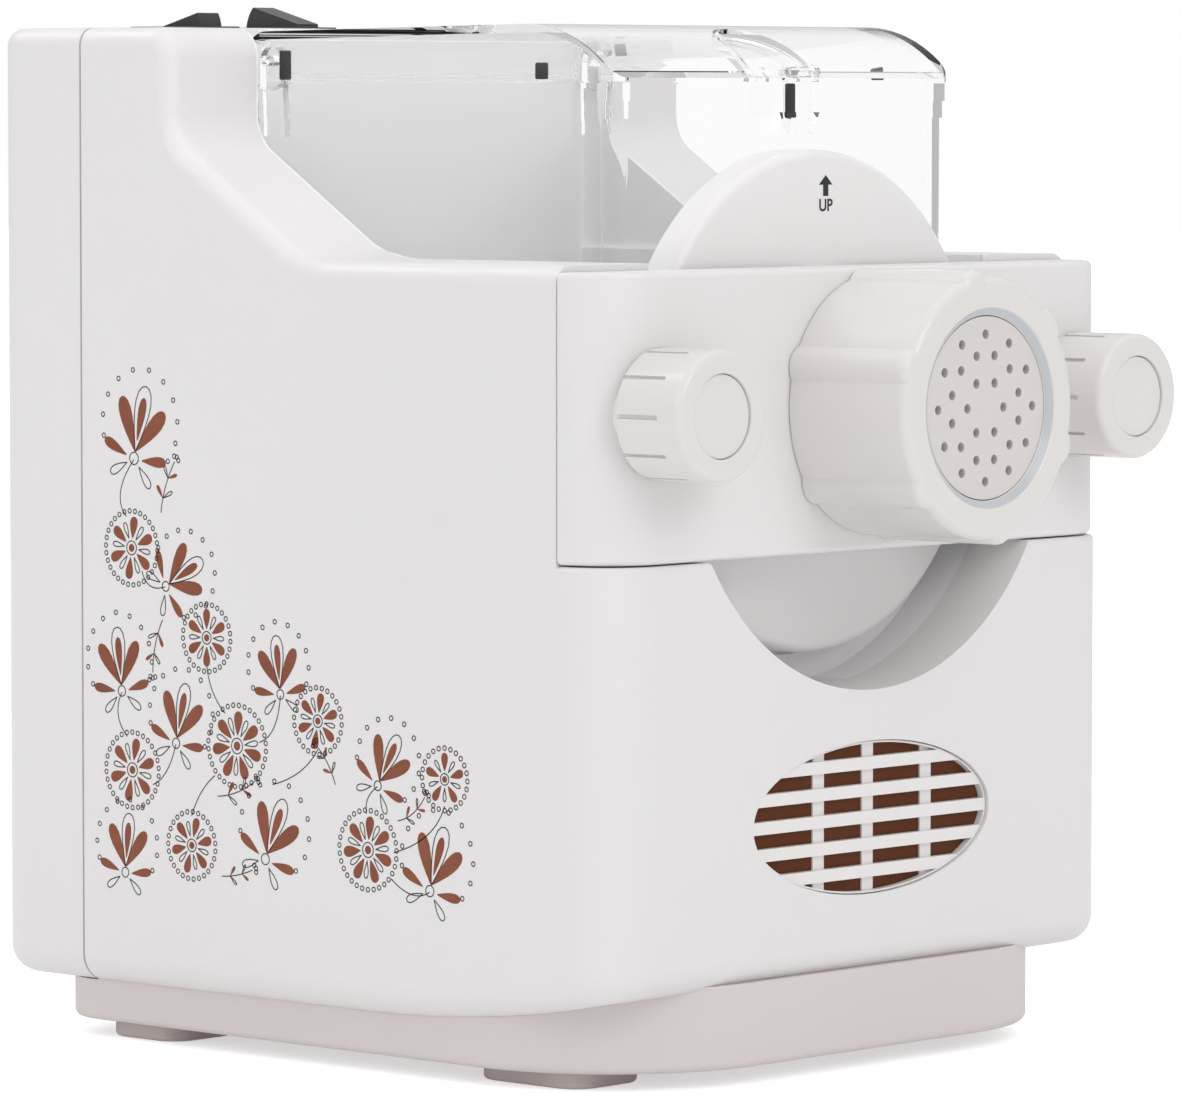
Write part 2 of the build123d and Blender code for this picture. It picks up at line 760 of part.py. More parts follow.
def make_washer(x):
    """Thrust washer in the panel's counterbore, under the knob."""
    ring = Circle(washer_radius) - Circle(stud_radius + part_clearance)
    return along_depth(Pos(x, 0) * ring, 0, washer_thickness)


def make_knob(x):
    """Knob with grip slits, a blind bore for its insert and a shallow seat for its cap."""
    near, far = -nut_gap - knob_length, -nut_gap
    knob = rod(knob_radius, near, far, x)
    knob = fillet(knob.edges().sort_by(Axis.Y)[0], knob_edge_radius)
    slit_start = far - knob_slit_share * knob_length
    slits = Sketch()
    for index in range(knob_slit_count):
        slit = Pos(knob_radius, 0) * Rectangle(2 * knob_slit_depth, knob_slit_width)
        slits += Rot(0, 0, index * 360 / knob_slit_count) * slit
    knob -= along_depth(Pos(x, 0) * slits, slit_start, far + wall)
    knob -= rod(insert_radius, stud_tip_depth - wall, far + wall, x)
    knob -= rod(knob_cap_radius, near - wall, near + knob_cap_recess + knob_cap_thickness, x)
    rim = knob.faces().sort_by(Axis.Y)[0].inner_wires()[0].edges()
    return fillet(rim, knob_seat_edge_radius)


def make_knob_insert(x):
    """Threaded bush moulded into the knob, with a plain bore for the stud."""
    bore = stud_radius + running_clearance
    bush = rod(insert_radius, stud_tip_depth - wall, -nut_gap, x)
    return bush - rod(bore, stud_tip_depth - wall, 0, x)


def make_knob_cap(x):
    """Round cap in the knob's face."""
    near = -nut_gap - knob_length + knob_cap_recess
    cap = rod(knob_cap_radius - part_clearance / 2, near, near + knob_cap_thickness, x)
    return fillet(cap.edges().sort_by(Axis.Y)[0], knob_cap_thickness / 4)


# ---------------------------------------------------------------- tub and lid

def tub_section(inset, lift=0.0):
    """U-shaped section of the tub about the common axis, moved inwards by inset."""
    reach = tub_half_width - inset
    height = tub_rim_rise + lift
    return Circle(reach) + Pos(0, height / 2) * Rectangle(2 * reach, height)


def rim_band(half, low, high):
    """Band around the tub's outside between two rises, with a half width of its own."""
    lap = half - tub_half_width
    band = block(-half, half, tub_front_depth - lap, tub_rear_depth, z_at(low), z_at(high))
    corners = band.edges().filter_by(Axis.Z).group_by(Axis.Y)[0]
    return fillet(corners, tub_corner_radius + lap)


def make_tub():
    """Clear U-shaped tub with a stepped rim, a round mouth in front and a shaft hole behind."""
    tub = along_depth(tub_section(0), tub_front_depth, tub_rear_depth)
    upright = tub.edges().filter_by(Axis.Z).group_by(Axis.Y)[0]
    tub = fillet(upright, tub_corner_radius)
    tub += rim_band(rim_half_width, tub_rim_rise - rim_height, tub_rim_rise)
    tub += rim_band(rim_step_half_width, tub_rim_rise - rim_step_height, tub_rim_rise - rim_height)
    hollow = along_depth(tub_section(tub_wall, wall), tub_front_depth + tub_wall, tub_rear_depth - tub_wall)
    inner_upright = hollow.edges().filter_by(Axis.Z).group_by(Axis.Y)[0]
    hollow = fillet(inner_upright, tub_corner_radius - tub_wall / 2)
    tub -= hollow
    tub -= rod(tub_mouth_radius, tub_front_depth - wall, tub_front_depth + 2 * tub_wall)
    tub += rod(bush_radius + tub_wall, tub_rear_depth - bush_length, tub_rear_depth)
    tub -= rod(bush_radius, tub_rear_depth - bush_length - wall, tub_rear_depth + wall)
    tub -= pin_across(hinge_knuckle_radius + part_clearance, -body_width, body_width, hinge_axis_depth,
                      z_at(hinge_axis_rise))
    inner = tub_half_width - tub_wall
    for side in (-1, 1):
        reach = rim_half_width - lid_wall - part_clearance
        ear_low, ear_high = sorted((side * (inner - hinge_ear_inset), side * reach))
        ear = pin_across(hinge_ear_radius, ear_low, ear_high, hinge_axis_depth, z_at(hinge_axis_rise))
        near, far = hinge_axis_depth - hinge_ear_radius, hinge_axis_depth + hinge_ear_radius
        ear += block(ear_low, ear_high, near, far, z_at(tub_rim_rise - 3 * rim_height), z_at(hinge_axis_rise))
        tub += ear
    return tub - pin_across(hinge_pin_radius, -body_width, body_width, hinge_axis_depth, z_at(hinge_axis_rise))


def make_hinge_pin(side):
    """Pin through one ear of the tub and one side wall of the lid."""
    inner = tub_half_width - tub_wall - hinge_ear_inset
    low, high = sorted((side * inner, side * rim_half_width))
    radius = hinge_pin_radius - running_clearance / 2
    return pin_across(radius, low, high, hinge_axis_depth, z_at(hinge_axis_rise))


def lid_profile(inset):
    """Side outline of the lid: flat top, rounded nose and a round knuckle about the hinge axis."""
    top = z_at(lid_crown_rise) - inset
    nose = y_at(lid_nose_depth - lid_nose_overhang) + inset
    foot = z_at(tub_rim_rise) + lid_gap
    crown = (y_at(lid_crown_depth), top)
    brow = (nose, foot + lid_brow_height)
    tail = (y_at(hinge_axis_depth), z_at(hinge_axis_rise) + hinge_knuckle_radius - inset)
    top_edge = Line(crown, tail)
    nose_curve = TangentArc(crown, brow, tangent=(-1, 0))
    front_edge = Line(brow, (nose, foot))
    bottom_edge = Line((nose, foot), (y_at(hinge_axis_depth), foot))
    tail_edge = Line((y_at(hinge_axis_depth), foot), tail)
    face = make_face(top_edge.edges() + nose_curve.edges() + front_edge.edges() + bottom_edge.edges()
                     + tail_edge.edges())
    knuckle = Pos(y_at(hinge_axis_depth), z_at(hinge_axis_rise)) * Circle(hinge_knuckle_radius - inset)
    return face + knuckle


def ear_slot(side):
    """Slot in the lid's round tail that the tub's hinge ear passes through as the lid opens."""
    inner = tub_half_width - tub_wall - hinge_ear_inset - part_clearance
    low, high = sorted((side * inner, side * (rim_half_width - lid_wall)))
    top = z_at(hinge_axis_rise + hinge_ear_radius) + 2 * part_clearance
    return block(low, high, hinge_axis_depth, hinge_axis_depth + 2 * hinge_knuckle_radius,
                 z_at(tub_rim_rise - hinge_knuckle_radius), top)


def scoop_column(grow):
    """Upright column over the arch-shaped plan of the scoop at the lid's nose."""
    plan = Pos(0, y_at(lid_nose_depth - lid_nose_overhang)) * Ellipse(scoop_half_width + grow, scoop_length + grow)
    low = z_at(tub_rim_rise) + lid_gap
    return extrude(Plane.XY.offset(low) * plan, amount=2 * lid_height)


def sink_scoop(lid):
    """The lid with the arch at its nose sunk by the scoop's depth and walled around."""
    half = rim_half_width
    sunk = across(lid_profile(scoop_depth), half)
    skirt = across(lid_profile(0), half) - across(lid_profile(scoop_depth + lid_wall), half)
    lid += skirt & scoop_column(scoop_wall)
    return lid - (scoop_column(0) - sunk)


def make_lid():
    """Clear lid, hollow from below, with side walls that turn on the hinge pins."""
    lid = across(lid_profile(0), rim_half_width)
    nose_corner = lid.edges().filter_by(Axis.Z).group_by(Axis.Y)[0]
    hollow = across(lid_profile(lid_wall), rim_half_width - lid_wall)
    mouth = block(lid_wall - rim_half_width, rim_half_width - lid_wall, lid_nose_depth - lid_nose_overhang + lid_wall,
                  hinge_axis_depth + hinge_knuckle_radius - lid_wall, z_at(tub_rim_rise) - hinge_knuckle_radius,
                  z_at(tub_rim_rise) + lid_gap + lid_wall)
    lid = fillet(nose_corner, lid_corner_radius)
    lid = sink_scoop(lid - hollow - mouth - [ear_slot(side) for side in (-1, 1)])
    lid += [make_latch_lug(side) for side in (-1, 1)]
    lid -= pin_across(latch_pin_radius, -half_width, half_width, latch_axis_depth, z_at(latch_axis_rise))
    return lid - pin_across(hinge_pin_radius + running_clearance / 2, -body_width, body_width, hinge_axis_depth,
                            z_at(hinge_axis_rise))


def make_latch():
    """Clear snap latch that hangs from the lid's nose in front of the tub, with a flared hook at its foot."""
    near = latch_rear_depth - latch_thickness
    top = z_at(latch_axis_rise)
    half = latch_width / 2
    tongue = block(-half, half, near, latch_rear_depth, top - latch_length, top)
    tongue += pin_across(latch_barrel_radius, -half, half, latch_axis_depth, top)
    brow, foot = latch_axis_rise - latch_length, latch_axis_rise - latch_length - latch_hook_drop
    wide, narrow = latch_hook_half_widths
    hook = make_face(Polyline((-wide, brow), (wide, brow), (narrow, foot), (-narrow, foot), close=True))
    tongue += along_depth(hook, latch_rear_depth - latch_hook_thickness, latch_rear_depth)
    return tongue - pin_across(latch_pin_radius + running_clearance / 2, -half, half, latch_axis_depth, top)


def make_latch_pin():
    """Pin that the latch swings on, carried by two lugs of the lid."""
    half = latch_width / 2 + latch_lug_width + part_clearance
    return pin_across(latch_pin_radius, -half, half, latch_axis_depth, z_at(latch_axis_rise))


def make_latch_lug(side):
    """Lug on the lid's nose beside the latch, with the hole for its pin."""
    inner = latch_width / 2 + part_clearance
    low, high = sorted((side * inner, side * (inner + latch_lug_width)))
    lug = pin_across(latch_lug_radius, low, high, latch_axis_depth, z_at(latch_axis_rise))
    return lug + block(low, high, latch_axis_depth, lid_nose_depth + scoop_depth + lid_wall / 2,
                       z_at(latch_axis_rise) - latch_lug_radius, z_at(latch_axis_rise) + latch_lug_radius)


# ---------------------------------------------------------------- auger and drive

def make_auger():
    """Shaft with a helical flight in front, a paddle in the tub and a hexagon socket behind."""
    flight_radius = barrel_bore_radius - auger_clearance
    length = auger_pitch * auger_turns
    tip, heel = auger_tip_depth, auger_heel_depth
    shaft = rod(auger_core_radius, tip, heel)
    shaft = fillet(shaft.edges().sort_by(Axis.Y)[0], auger_core_radius / 3)
    shaft += rod(socket_radius, tub_rear_depth - bush_length - socket_collar, heel)
    start = Plane(origin=(0, y_at(tip + auger_flight_thickness), axis_height), x_dir=(1, 0, 0), z_dir=(0, 1, 0))
    root = auger_core_radius - wall / 2
    path = Helix(auger_pitch, length, flight_radius)
    blade = Pos((root + flight_radius) / 2, 0, 0) * Rectangle(flight_radius - root, auger_flight_thickness)
    section = Plane.XZ * blade
    flight = sweep(section, path=path, is_frenet=True)
    shaft += start.location * flight
    depth = heel - socket_depth
    across_flats = hex_across_flats + hex_clearance
    socket = RegularPolygon(across_flats / 2, 6, major_radius=False)
    return shaft - along_depth(socket, depth, heel + wall)


def make_paddle():
    """Mixing frame: hub sleeve with round arms that end in pitched blades."""
    hub = rod(auger_core_radius + paddle_hub_wall, paddle_near_depth, paddle_far_depth)
    span = paddle_far_depth - paddle_near_depth
    for index in range(paddle_count):
        depth = paddle_near_depth + span * (index + 0.5) / paddle_count
        turn = paddle_start_angle + index * 360 / paddle_count
        arm = Cylinder(paddle_rod_radius, paddle_radius - auger_core_radius - wall / 2)
        arm = Pos(0, 0, (paddle_radius + auger_core_radius + wall / 2) / 2) * arm
        blade = Box(paddle_blade_width, paddle_blade_thickness, paddle_blade_height)
        blade = fillet(blade.edges().filter_by(Axis.Y), paddle_blade_radius)
        blade = Pos(0, 0, paddle_radius - paddle_blade_height / 2) * Rot(0, 0, paddle_blade_angle) * blade
        hub += Pos(0, y_at(depth), axis_height) * Rot(0, turn, 0) * (arm + blade)
    return hub - rod(auger_core_radius + running_clearance / 2, paddle_near_depth - wall, paddle_far_depth + wall)


def make_tub_bush():
    """Bush and lip seal in the tub's rear wall."""
    near = tub_rear_depth - bush_length
    ring = Circle(bush_radius) - Circle(socket_radius + running_clearance)
    return along_depth(ring, near, tub_rear_depth)


def involute(base_radius, radius):
    """Angle that the involute has turned through at a radius, in radians."""
    roll = math.sqrt(max((radius / base_radius) ** 2 - 1, 0.0))
    return roll - math.atan(roll)


def gear_outline(module, teeth, phase=0.0):
    """Spur gear outline with stub involute teeth, its first tooth at the phase angle in degrees."""
    pitch_radius = module * teeth / 2
    base_radius = pitch_radius * math.cos(math.radians(pressure_angle))
    tip_radius = pitch_radius + tooth_addendum * module
    root_radius = pitch_radius - tooth_dedendum * module
    half_tooth = math.pi / (2 * teeth) - tooth_backlash / (4 * pitch_radius)
    flank_start = max(base_radius, root_radius)
    reach = tip_radius - flank_start
    flank = [flank_start + reach * step / flank_step_count for step in range(flank_step_count + 1)]
    half = [(root_radius, half_tooth + involute(base_radius, pitch_radius))] if root_radius < base_radius else []
    for radius in flank:
        angle = half_tooth + involute(base_radius, pitch_radius) - involute(base_radius, radius)
        half.append((radius, angle))
    points = []
    for tooth in range(teeth):
        middle = math.radians(phase) + 2 * math.pi * tooth / teeth
        for radius, angle in half:
            points.append((radius * math.cos(middle - angle), radius * math.sin(middle - angle)))
        for radius, angle in reversed(half):
            points.append((radius * math.cos(middle + angle), radius * math.sin(middle + angle)))
    return make_face(Polyline(*points, close=True))


def make_motor_pinion():
    """Spur pinion on the motor shaft."""
    shape = Pos(0, motor_rise) * gear_outline(fast_module, fast_pinion_teeth, phase=90)
    pinion = along_depth(shape, fast_depth - gear_side_gap / 2, fast_depth + fast_gear_width + gear_side_gap / 2)
    return pinion - rod(motor_shaft_radius, fast_depth - wall, fast_depth + fast_gear_width + wall, 0, motor_rise)


def make_intermediate_gear():
    """Large driven gear and small driving pinion in one piece, webbed, bored for the fixed axle."""
    slot_phase = -90 + 180 / fast_gear_teeth
    large = Pos(0, layshaft_rise) * gear_outline(fast_module, fast_gear_teeth, slot_phase)
    gear = along_depth(large, fast_depth, fast_depth + fast_gear_width)
    web_outer = fast_module * fast_gear_teeth / 2 - gear_rim
    web_inner = slow_module * slow_pinion_teeth / 2 + gear_rim
    web = Pos(0, layshaft_rise) * (Circle(web_outer) - Circle(web_inner))
    gear -= along_depth(web, fast_depth - wall, fast_depth + gear_web_recess)
    gear -= along_depth(web, fast_depth + fast_gear_width - gear_web_recess, fast_depth + fast_gear_width + wall)
    small = Pos(0, layshaft_rise) * gear_outline(slow_module, slow_pinion_teeth, phase=90)
    gear += along_depth(small, fast_depth + fast_gear_width - gear_web_recess, slow_depth + slow_gear_width)
    end = slow_depth + slow_gear_width
    return gear - rod(axle_radius + running_clearance / 2, fast_depth - wall, end + wall, 0, layshaft_rise)


def make_output_gear():
    """Large gear pressed on the drive spindle, lightened by a recessed web."""
    slot_phase = -90 + 180 / slow_gear_teeth
    gear = along_depth(gear_outline(slow_module, slow_gear_teeth, slot_phase), slow_depth, slow_depth + slow_gear_width)
    web_outer = slow_module * slow_gear_teeth / 2 - gear_rim
    web_inner = spindle_radius + gear_rim
    web = Circle(web_outer) - Circle(web_inner)
    gear -= along_depth(web, slow_depth - wall, slow_depth + 2 * gear_web_recess)
    gear -= along_depth(web, slow_depth + slow_gear_width - gear_web_recess, slow_depth + slow_gear_width + wall)
    return gear - rod(spindle_radius, slow_depth - wall, slow_depth + slow_gear_width + wall)


def make_drive_spindle():
    """Steel spindle: hexagon nose for the auger's socket, round journals behind."""
    nose = along_depth(RegularPolygon(hex_across_flats / 2, 6, major_radius=False), spindle_nose_depth,
                       auger_heel_depth + part_clearance)
    return nose + rod(spindle_radius, auger_heel_depth + part_clearance, gearbox_rear_depth + gearbox_wall)


def gearbox_outline(grow=0.0):
    """Round-ended outline that wraps the three gear axes."""
    top = Circle(slow_module * slow_gear_teeth / 2 + slow_module + gearbox_clearance + grow)
    middle_radius = fast_module * fast_gear_teeth / 2 + fast_module + gearbox_clearance + grow
    foot_radius = fast_module * fast_pinion_teeth + gearbox_clearance + grow
    middle = Pos(0, layshaft_rise) * Circle(middle_radius)
    foot = Pos(0, motor_rise) * Circle(foot_radius)
    return make_hull(top.edges() + middle.edges() + foot.edges())


def make_gearbox_case():
    """Front half of the gearbox, a cup that bolts behind the cradle, with bosses for its shafts."""
    case = along_depth(gearbox_outline(gearbox_wall), gearbox_front_depth, gearbox_split_depth)
    case -= along_depth(gearbox_outline(), gearbox_front_depth + gearbox_wall, gearbox_split_depth + wall)
    for x, rise in gearbox_screw_places():
        case += rod(gearbox_lug_radius, gearbox_front_depth, gearbox_split_depth, x, rise)
    case -= along_depth(gearbox_outline(), gearbox_front_depth + gearbox_wall, gearbox_split_depth + wall)
    boss_end = fast_depth - part_clearance
    case += rod(bearing_radius + gearbox_wall, gearbox_front_depth, boss_end)
    case += rod(axle_radius + gearbox_wall, gearbox_front_depth, boss_end, 0, layshaft_rise)
    case -= rod(bearing_radius, gearbox_front_depth - wall, boss_end + wall)
    case -= rod(axle_radius, gearbox_front_depth + wall / 2, boss_end + wall, 0, layshaft_rise)
    case -= rod(motor_shaft_radius + part_clearance, gearbox_front_depth - wall, boss_end + wall, 0, motor_rise)
    for x, rise in gearbox_screw_places():
        case -= rod(gearbox_screw_radius, gearbox_front_depth + wall, gearbox_split_depth + wall, x, rise)
    return case


def make_gearbox_cover():
    """Rear plate of the gearbox with the rear bearing boss and the axle's boss."""
    cover = along_depth(gearbox_outline(gearbox_wall), gearbox_split_depth, gearbox_rear_depth)
    for x, rise in gearbox_screw_places():
        cover += rod(gearbox_lug_radius, gearbox_split_depth, gearbox_rear_depth, x, rise)
    cover += rod(bearing_radius + gearbox_wall, gearbox_split_depth, gearbox_rear_depth + gearbox_wall)
    cover += rod(axle_radius + gearbox_wall, gearbox_split_depth, gearbox_rear_depth + gearbox_wall, 0, layshaft_rise)
    cover -= rod(bearing_radius, gearbox_split_depth - wall, gearbox_rear_depth + 2 * gearbox_wall)
    cover -= rod(axle_radius, gearbox_split_depth - wall, gearbox_rear_depth + gearbox_wall / 2, 0, layshaft_rise)
    for x, rise in gearbox_screw_places():
        cover -= rod(gearbox_screw_radius + running_clearance, gearbox_split_depth - wall, body_depth, x, rise)
    return cover


def gearbox_screw_places():
    """Sides and rises of the gearbox screws, on the outline about the output and motor axes."""
    reach = slow_module * slow_gear_teeth / 2 + slow_module + gearbox_clearance + gearbox_wall + gearbox_lug_radius / 2
    places = [(reach * math.cos(math.radians(angle)), reach * math.sin(math.radians(angle)))
              for angle in gearbox_top_screw_angles]
    low_reach = fast_module * fast_gear_teeth / 2 + fast_module + gearbox_clearance + gearbox_wall
    low_reach += gearbox_lug_radius / 2
    low_angle = math.radians(gearbox_low_screw_angle)
    places += [(side * low_reach * math.cos(low_angle), layshaft_rise - low_reach * math.sin(low_angle))
               for side in (-1, 1)]
    return places


def make_gearbox_screw(x, rise):
    """Pan-head screw through the cover into a lug of the case."""
    tip = gearbox_front_depth + 2 * wall
    shank = rod(gearbox_screw_radius, tip, gearbox_rear_depth, x, rise)
    return shank + rod(gearbox_screw_head_radius, gearbox_rear_depth, gearbox_rear_depth + wall, x, rise)


def make_spindle_bearing(near, far):
    """Sintered bush for the spindle."""
    ring = Circle(bearing_radius) - Circle(spindle_radius + running_clearance / 2)
    return along_depth(ring, near, far)


def make_axle():
    """Fixed steel axle of the intermediate gear."""
    return rod(axle_radius, gearbox_front_depth + wall / 2, gearbox_rear_depth + gearbox_wall / 2, 0, layshaft_rise)


# ---------------------------------------------------------------- motor

def make_motor_can():
    """Drawn steel can of the motor with two feet that bolt to the housing's floor."""
    near, far = motor_front_depth + motor_bell_thickness, motor_rear_depth - motor_bell_thickness
    can = Circle(motor_radius) - Circle(motor_radius - motor_can_wall)
    return along_depth(Pos(0, motor_rise) * can, near, far)


def make_motor_bell(near, bearing_near):
    """End bell of the motor with cooling windows and a bearing seat."""
    bell = rod(motor_radius, near, near + motor_bell_thickness, 0, motor_rise)
    for index in range(bell_window_count):
        angle = 360 * (index + 0.5) / bell_window_count
        centre = math.radians(angle)
        at = (bell_window_circle * math.cos(centre), motor_rise + bell_window_circle * math.sin(centre))
        bell -= along_depth(Pos(*at) * Circle(bell_window_radius), near - wall, near + 2 * motor_bell_thickness)
    bell += rod(motor_bearing_radius + wall, bearing_near, bearing_near + motor_bearing_length, 0, motor_rise)
    return bell - rod(motor_bearing_radius, near - body_depth, near + body_depth, 0, motor_rise)


def make_motor_bearing(near):
    """Bush of the motor shaft."""
    ring = Circle(motor_bearing_radius) - Circle(motor_shaft_radius + running_clearance / 2)
    return along_depth(Pos(0, motor_rise) * ring, near, near + motor_bearing_length)


def make_magnets():
    """Two curved magnets inside the can, as separate solids."""
    outer = motor_radius - motor_can_wall - part_clearance / 2
    ring = Circle(outer) - Circle(outer - magnet_thickness + part_clearance)
    split = Rectangle(2 * motor_radius, magnet_gap)
    near = motor_front_depth + 3 * motor_bell_thickness
    far = motor_rear_depth - 3 * motor_bell_thickness
    return along_depth(Pos(0, motor_rise) * (ring - split), near, far).solids()


def make_motor_rotor():
    """Shaft with the slotted armature and the commutator."""
    near, far = motor_front_depth + 4 * motor_bell_thickness, motor_rear_depth - 4 * motor_bell_thickness
    armature = Circle(rotor_radius)
    for index in range(rotor_slot_count):
        angle = math.radians(360 * index / rotor_slot_count)
        at = (rotor_radius * math.cos(angle), rotor_radius * math.sin(angle))
        armature -= Pos(*at) * Circle(rotor_slot_radius)
    rotor = along_depth(Pos(0, motor_rise) * armature, near, far)
    commutator_near = motor_front_depth + motor_bell_thickness + motor_bearing_length
    rotor += rod(commutator_radius, commutator_near, near, 0, motor_rise)
    shaft_far = fast_depth + fast_gear_width + gear_side_gap / 2
    return rotor + rod(motor_shaft_radius, fan_near_depth, shaft_far, 0, motor_rise)


def make_motor_fan():
    """Radial cooling fan on the front end of the shaft, behind the vent."""
    fan = rod(motor_shaft_radius + wall, fan_near_depth, fan_near_depth + fan_width, 0, motor_rise)
    fan += rod(fan_radius, fan_near_depth + fan_width - fan_disc, fan_near_depth + fan_width, 0, motor_rise)
    for index in range(fan_blade_count):
        blade = Box(fan_radius - motor_shaft_radius, fan_width, fan_blade)
        blade = Pos((fan_radius + motor_shaft_radius) / 2, y_at(fan_near_depth + fan_width / 2), 0) * blade
        fan += Pos(0, 0, z_at(motor_rise)) * Rot(0, 360 * index / fan_blade_count, 0) * blade
    return fan - rod(motor_shaft_radius, fan_near_depth - wall, fan_near_depth + 2 * fan_width, 0, motor_rise)


def make_motor_cradle():
    """Two saddles under the motor that stand on the housing's floor."""
    saddles = []
    for shift in saddle_offsets:
        depth = motor_front_depth + shift
        saddle = block(-saddle_half_width, saddle_half_width, depth - saddle_half_length, depth + saddle_half_length,
                       belly_height + wall, z_at(motor_rise) - motor_radius / 3)
        hollow = rod(motor_radius, motor_front_depth, motor_rear_depth, 0, motor_rise)
        saddles.append(saddle - hollow)
    return saddles


# ---------------------------------------------------------------- electrics and small fittings

def vent_slots():
    """Rows of slots between the lattice's bars, about the vent's own centre."""
    slots = Sketch()
    for row in range(vent_row_count):
        height = (row - (vent_row_count - 1) / 2) * vent_slot_pitch
        slots += Pos(0, height) * Rectangle(2 * vent_half_width, vent_slot_pitch - vent_bar_height)
    return slots & vent_outline(-vent_rim)


def make_vent_grille():
    """Oval lattice that fills the vent: bars in front, uprights set back behind them, and a flange."""
    plug = along_depth(Pos(0, -vent_drop) * vent_outline(-part_clearance), vent_inset, wall)
    flange = along_depth(Pos(0, -vent_drop) * vent_outline(vent_flange), wall, wall + vent_flange_thickness)
    slots = vent_slots()
    windows = slots
    for x in vent_upright_places:
        windows -= Pos(x, 0) * Rectangle(vent_upright_width, 2 * vent_half_width)
    lattice = plug - along_depth(Pos(0, -vent_drop) * slots, 0, wall)
    return lattice + flange - along_depth(Pos(0, -vent_drop) * windows, wall, 4 * wall)


def make_vent_screen():
    """Dark filter mat behind the lattice."""
    near = wall + vent_flange_thickness
    return along_depth(Pos(0, -vent_drop) * vent_outline(vent_flange / 2), near, near + screen_thickness)


def make_control_board():
    """Circuit board with its relay, capacitor, transformer and heat sink."""
    near, far = board_depth, board_depth + board_thickness
    board = along_depth(Pos(0, board_rise) * Rectangle(board_width, board_height), near, far)
    for x, rise, width, height, thickness in board_parts:
        board += along_depth(Pos(x, board_rise + rise) * Rectangle(width, height), far, far + thickness)
    for x, rise in board_post_places():
        board -= rod(board_screw_radius, near - wall, far + wall, x, rise)
    return board


def make_interlock():
    """Micro switch behind the cradle's rear wall that senses the closed lid."""
    near = tub_rear_depth + cradle_rear_gap + wall
    height = z_at(interlock_rise)
    return block(interlock_side - interlock_width / 2, interlock_side + interlock_width / 2, near,
                 near + interlock_thickness, height - interlock_height / 2, height + interlock_height / 2)


def make_power_inlet():
    """Recessed two-pin inlet with a bezel and its two contact pins."""
    back = body_depth - inlet_depth
    outer = Pos(inlet_offset, inlet_rise) * RectangleRounded(inlet_width - part_clearance,
                                                             inlet_height - part_clearance, inlet_corner_radius)
    shell = along_depth(outer, back, body_depth - inlet_bezel_inset)
    cavity = Pos(inlet_offset, inlet_rise) * SlotOverall(inlet_cavity_width, inlet_cavity_height)
    shell -= along_depth(cavity, back + wall, body_depth + wall)
    for side in (-1, 1):
        shell += rod(inlet_pin_radius, back + wall / 2, body_depth - 2 * wall, inlet_offset + side * inlet_pin_offset,
                     inlet_rise)
    return shell


def make_switch_body(x):
    """Body of one rocker switch with its bezel on the deck and a pocket for the rocker."""
    depth = rocker_centre_depth
    half_w, half_l = switch_half_width, switch_half_length
    body = block(x - half_w, x + half_w, depth - half_l, depth + half_l, deck_height - switch_body_depth, deck_height)
    body += block(x - half_w - bezel_margin, x + half_w + bezel_margin, depth - half_l - bezel_margin,
                  depth + half_l + bezel_margin, deck_height, deck_height + bezel_height)
    rim = body.faces().sort_by(Axis.Z)[-1]
    body = fillet(rim.edges(), bezel_height / 2)
    pocket_w = rocker_width / 2 + part_clearance
    pocket_l = rocker_arc_radius + part_clearance
    swing = rocker_arc_radius * math.sin(math.radians(rocker_tilt))
    pocket_floor = rocker_axis_height - rocker_skirt_drop - swing - part_clearance
    body -= block(x - pocket_w, x + pocket_w, depth - pocket_l, depth + pocket_l, pocket_floor,
                  deck_height + 2 * bezel_height)
    pin = rocker_pin_radius + running_clearance / 2
    return body - pin_across(pin, x - rocker_pin_reach - part_clearance, x + rocker_pin_reach + part_clearance,
                             depth, rocker_axis_height)


def make_rocker(x, crown_rise, tilt):
    """Rocker on its pivot stubs, tipped to one of its two rests."""
    band = Rectangle(2 * rocker_arc_radius, crown_rise + rocker_skirt_drop)
    profile = Circle(rocker_arc_radius) & Pos(0, (crown_rise - rocker_skirt_drop) / 2) * band
    rocker = Pos(x, 0, 0) * extrude(Plane.YZ * profile, amount=rocker_width / 2, both=True)
    rocker += Pos(x, 0, 0) * extrude(Plane.YZ * Circle(rocker_pin_radius), amount=rocker_pin_reach, both=True)
    return Pos(0, y_at(rocker_centre_depth), rocker_axis_height) * Rot(tilt, 0, 0) * rocker


def make_cover_screw(x, height):
    """Countersunk screw of the rear cover."""
    rise = height - axis_height
    tip = seam_depth - cover_boss_length + 2 * wall
    head_depth = body_depth - cover_screw_head_height
    shank = rod(cover_screw_radius, tip, head_depth + wall / 4, x, rise)
    return shank + rod(cover_screw_head_radius, head_depth, head_depth + wall / 2, x, rise)


def make_base_screw(x, depth):
    """Screw that holds the plinth to the housing's floor."""
    tip = belly_height + 3 * wall
    shank = post(base_screw_radius, foot_height + base_screw_head_height - wall / 2, tip, x, depth)
    return shank + post(base_screw_head_radius, foot_height + wall / 4, foot_height + base_screw_head_height, x, depth)


# ---------------------------------------------------------------- nodes

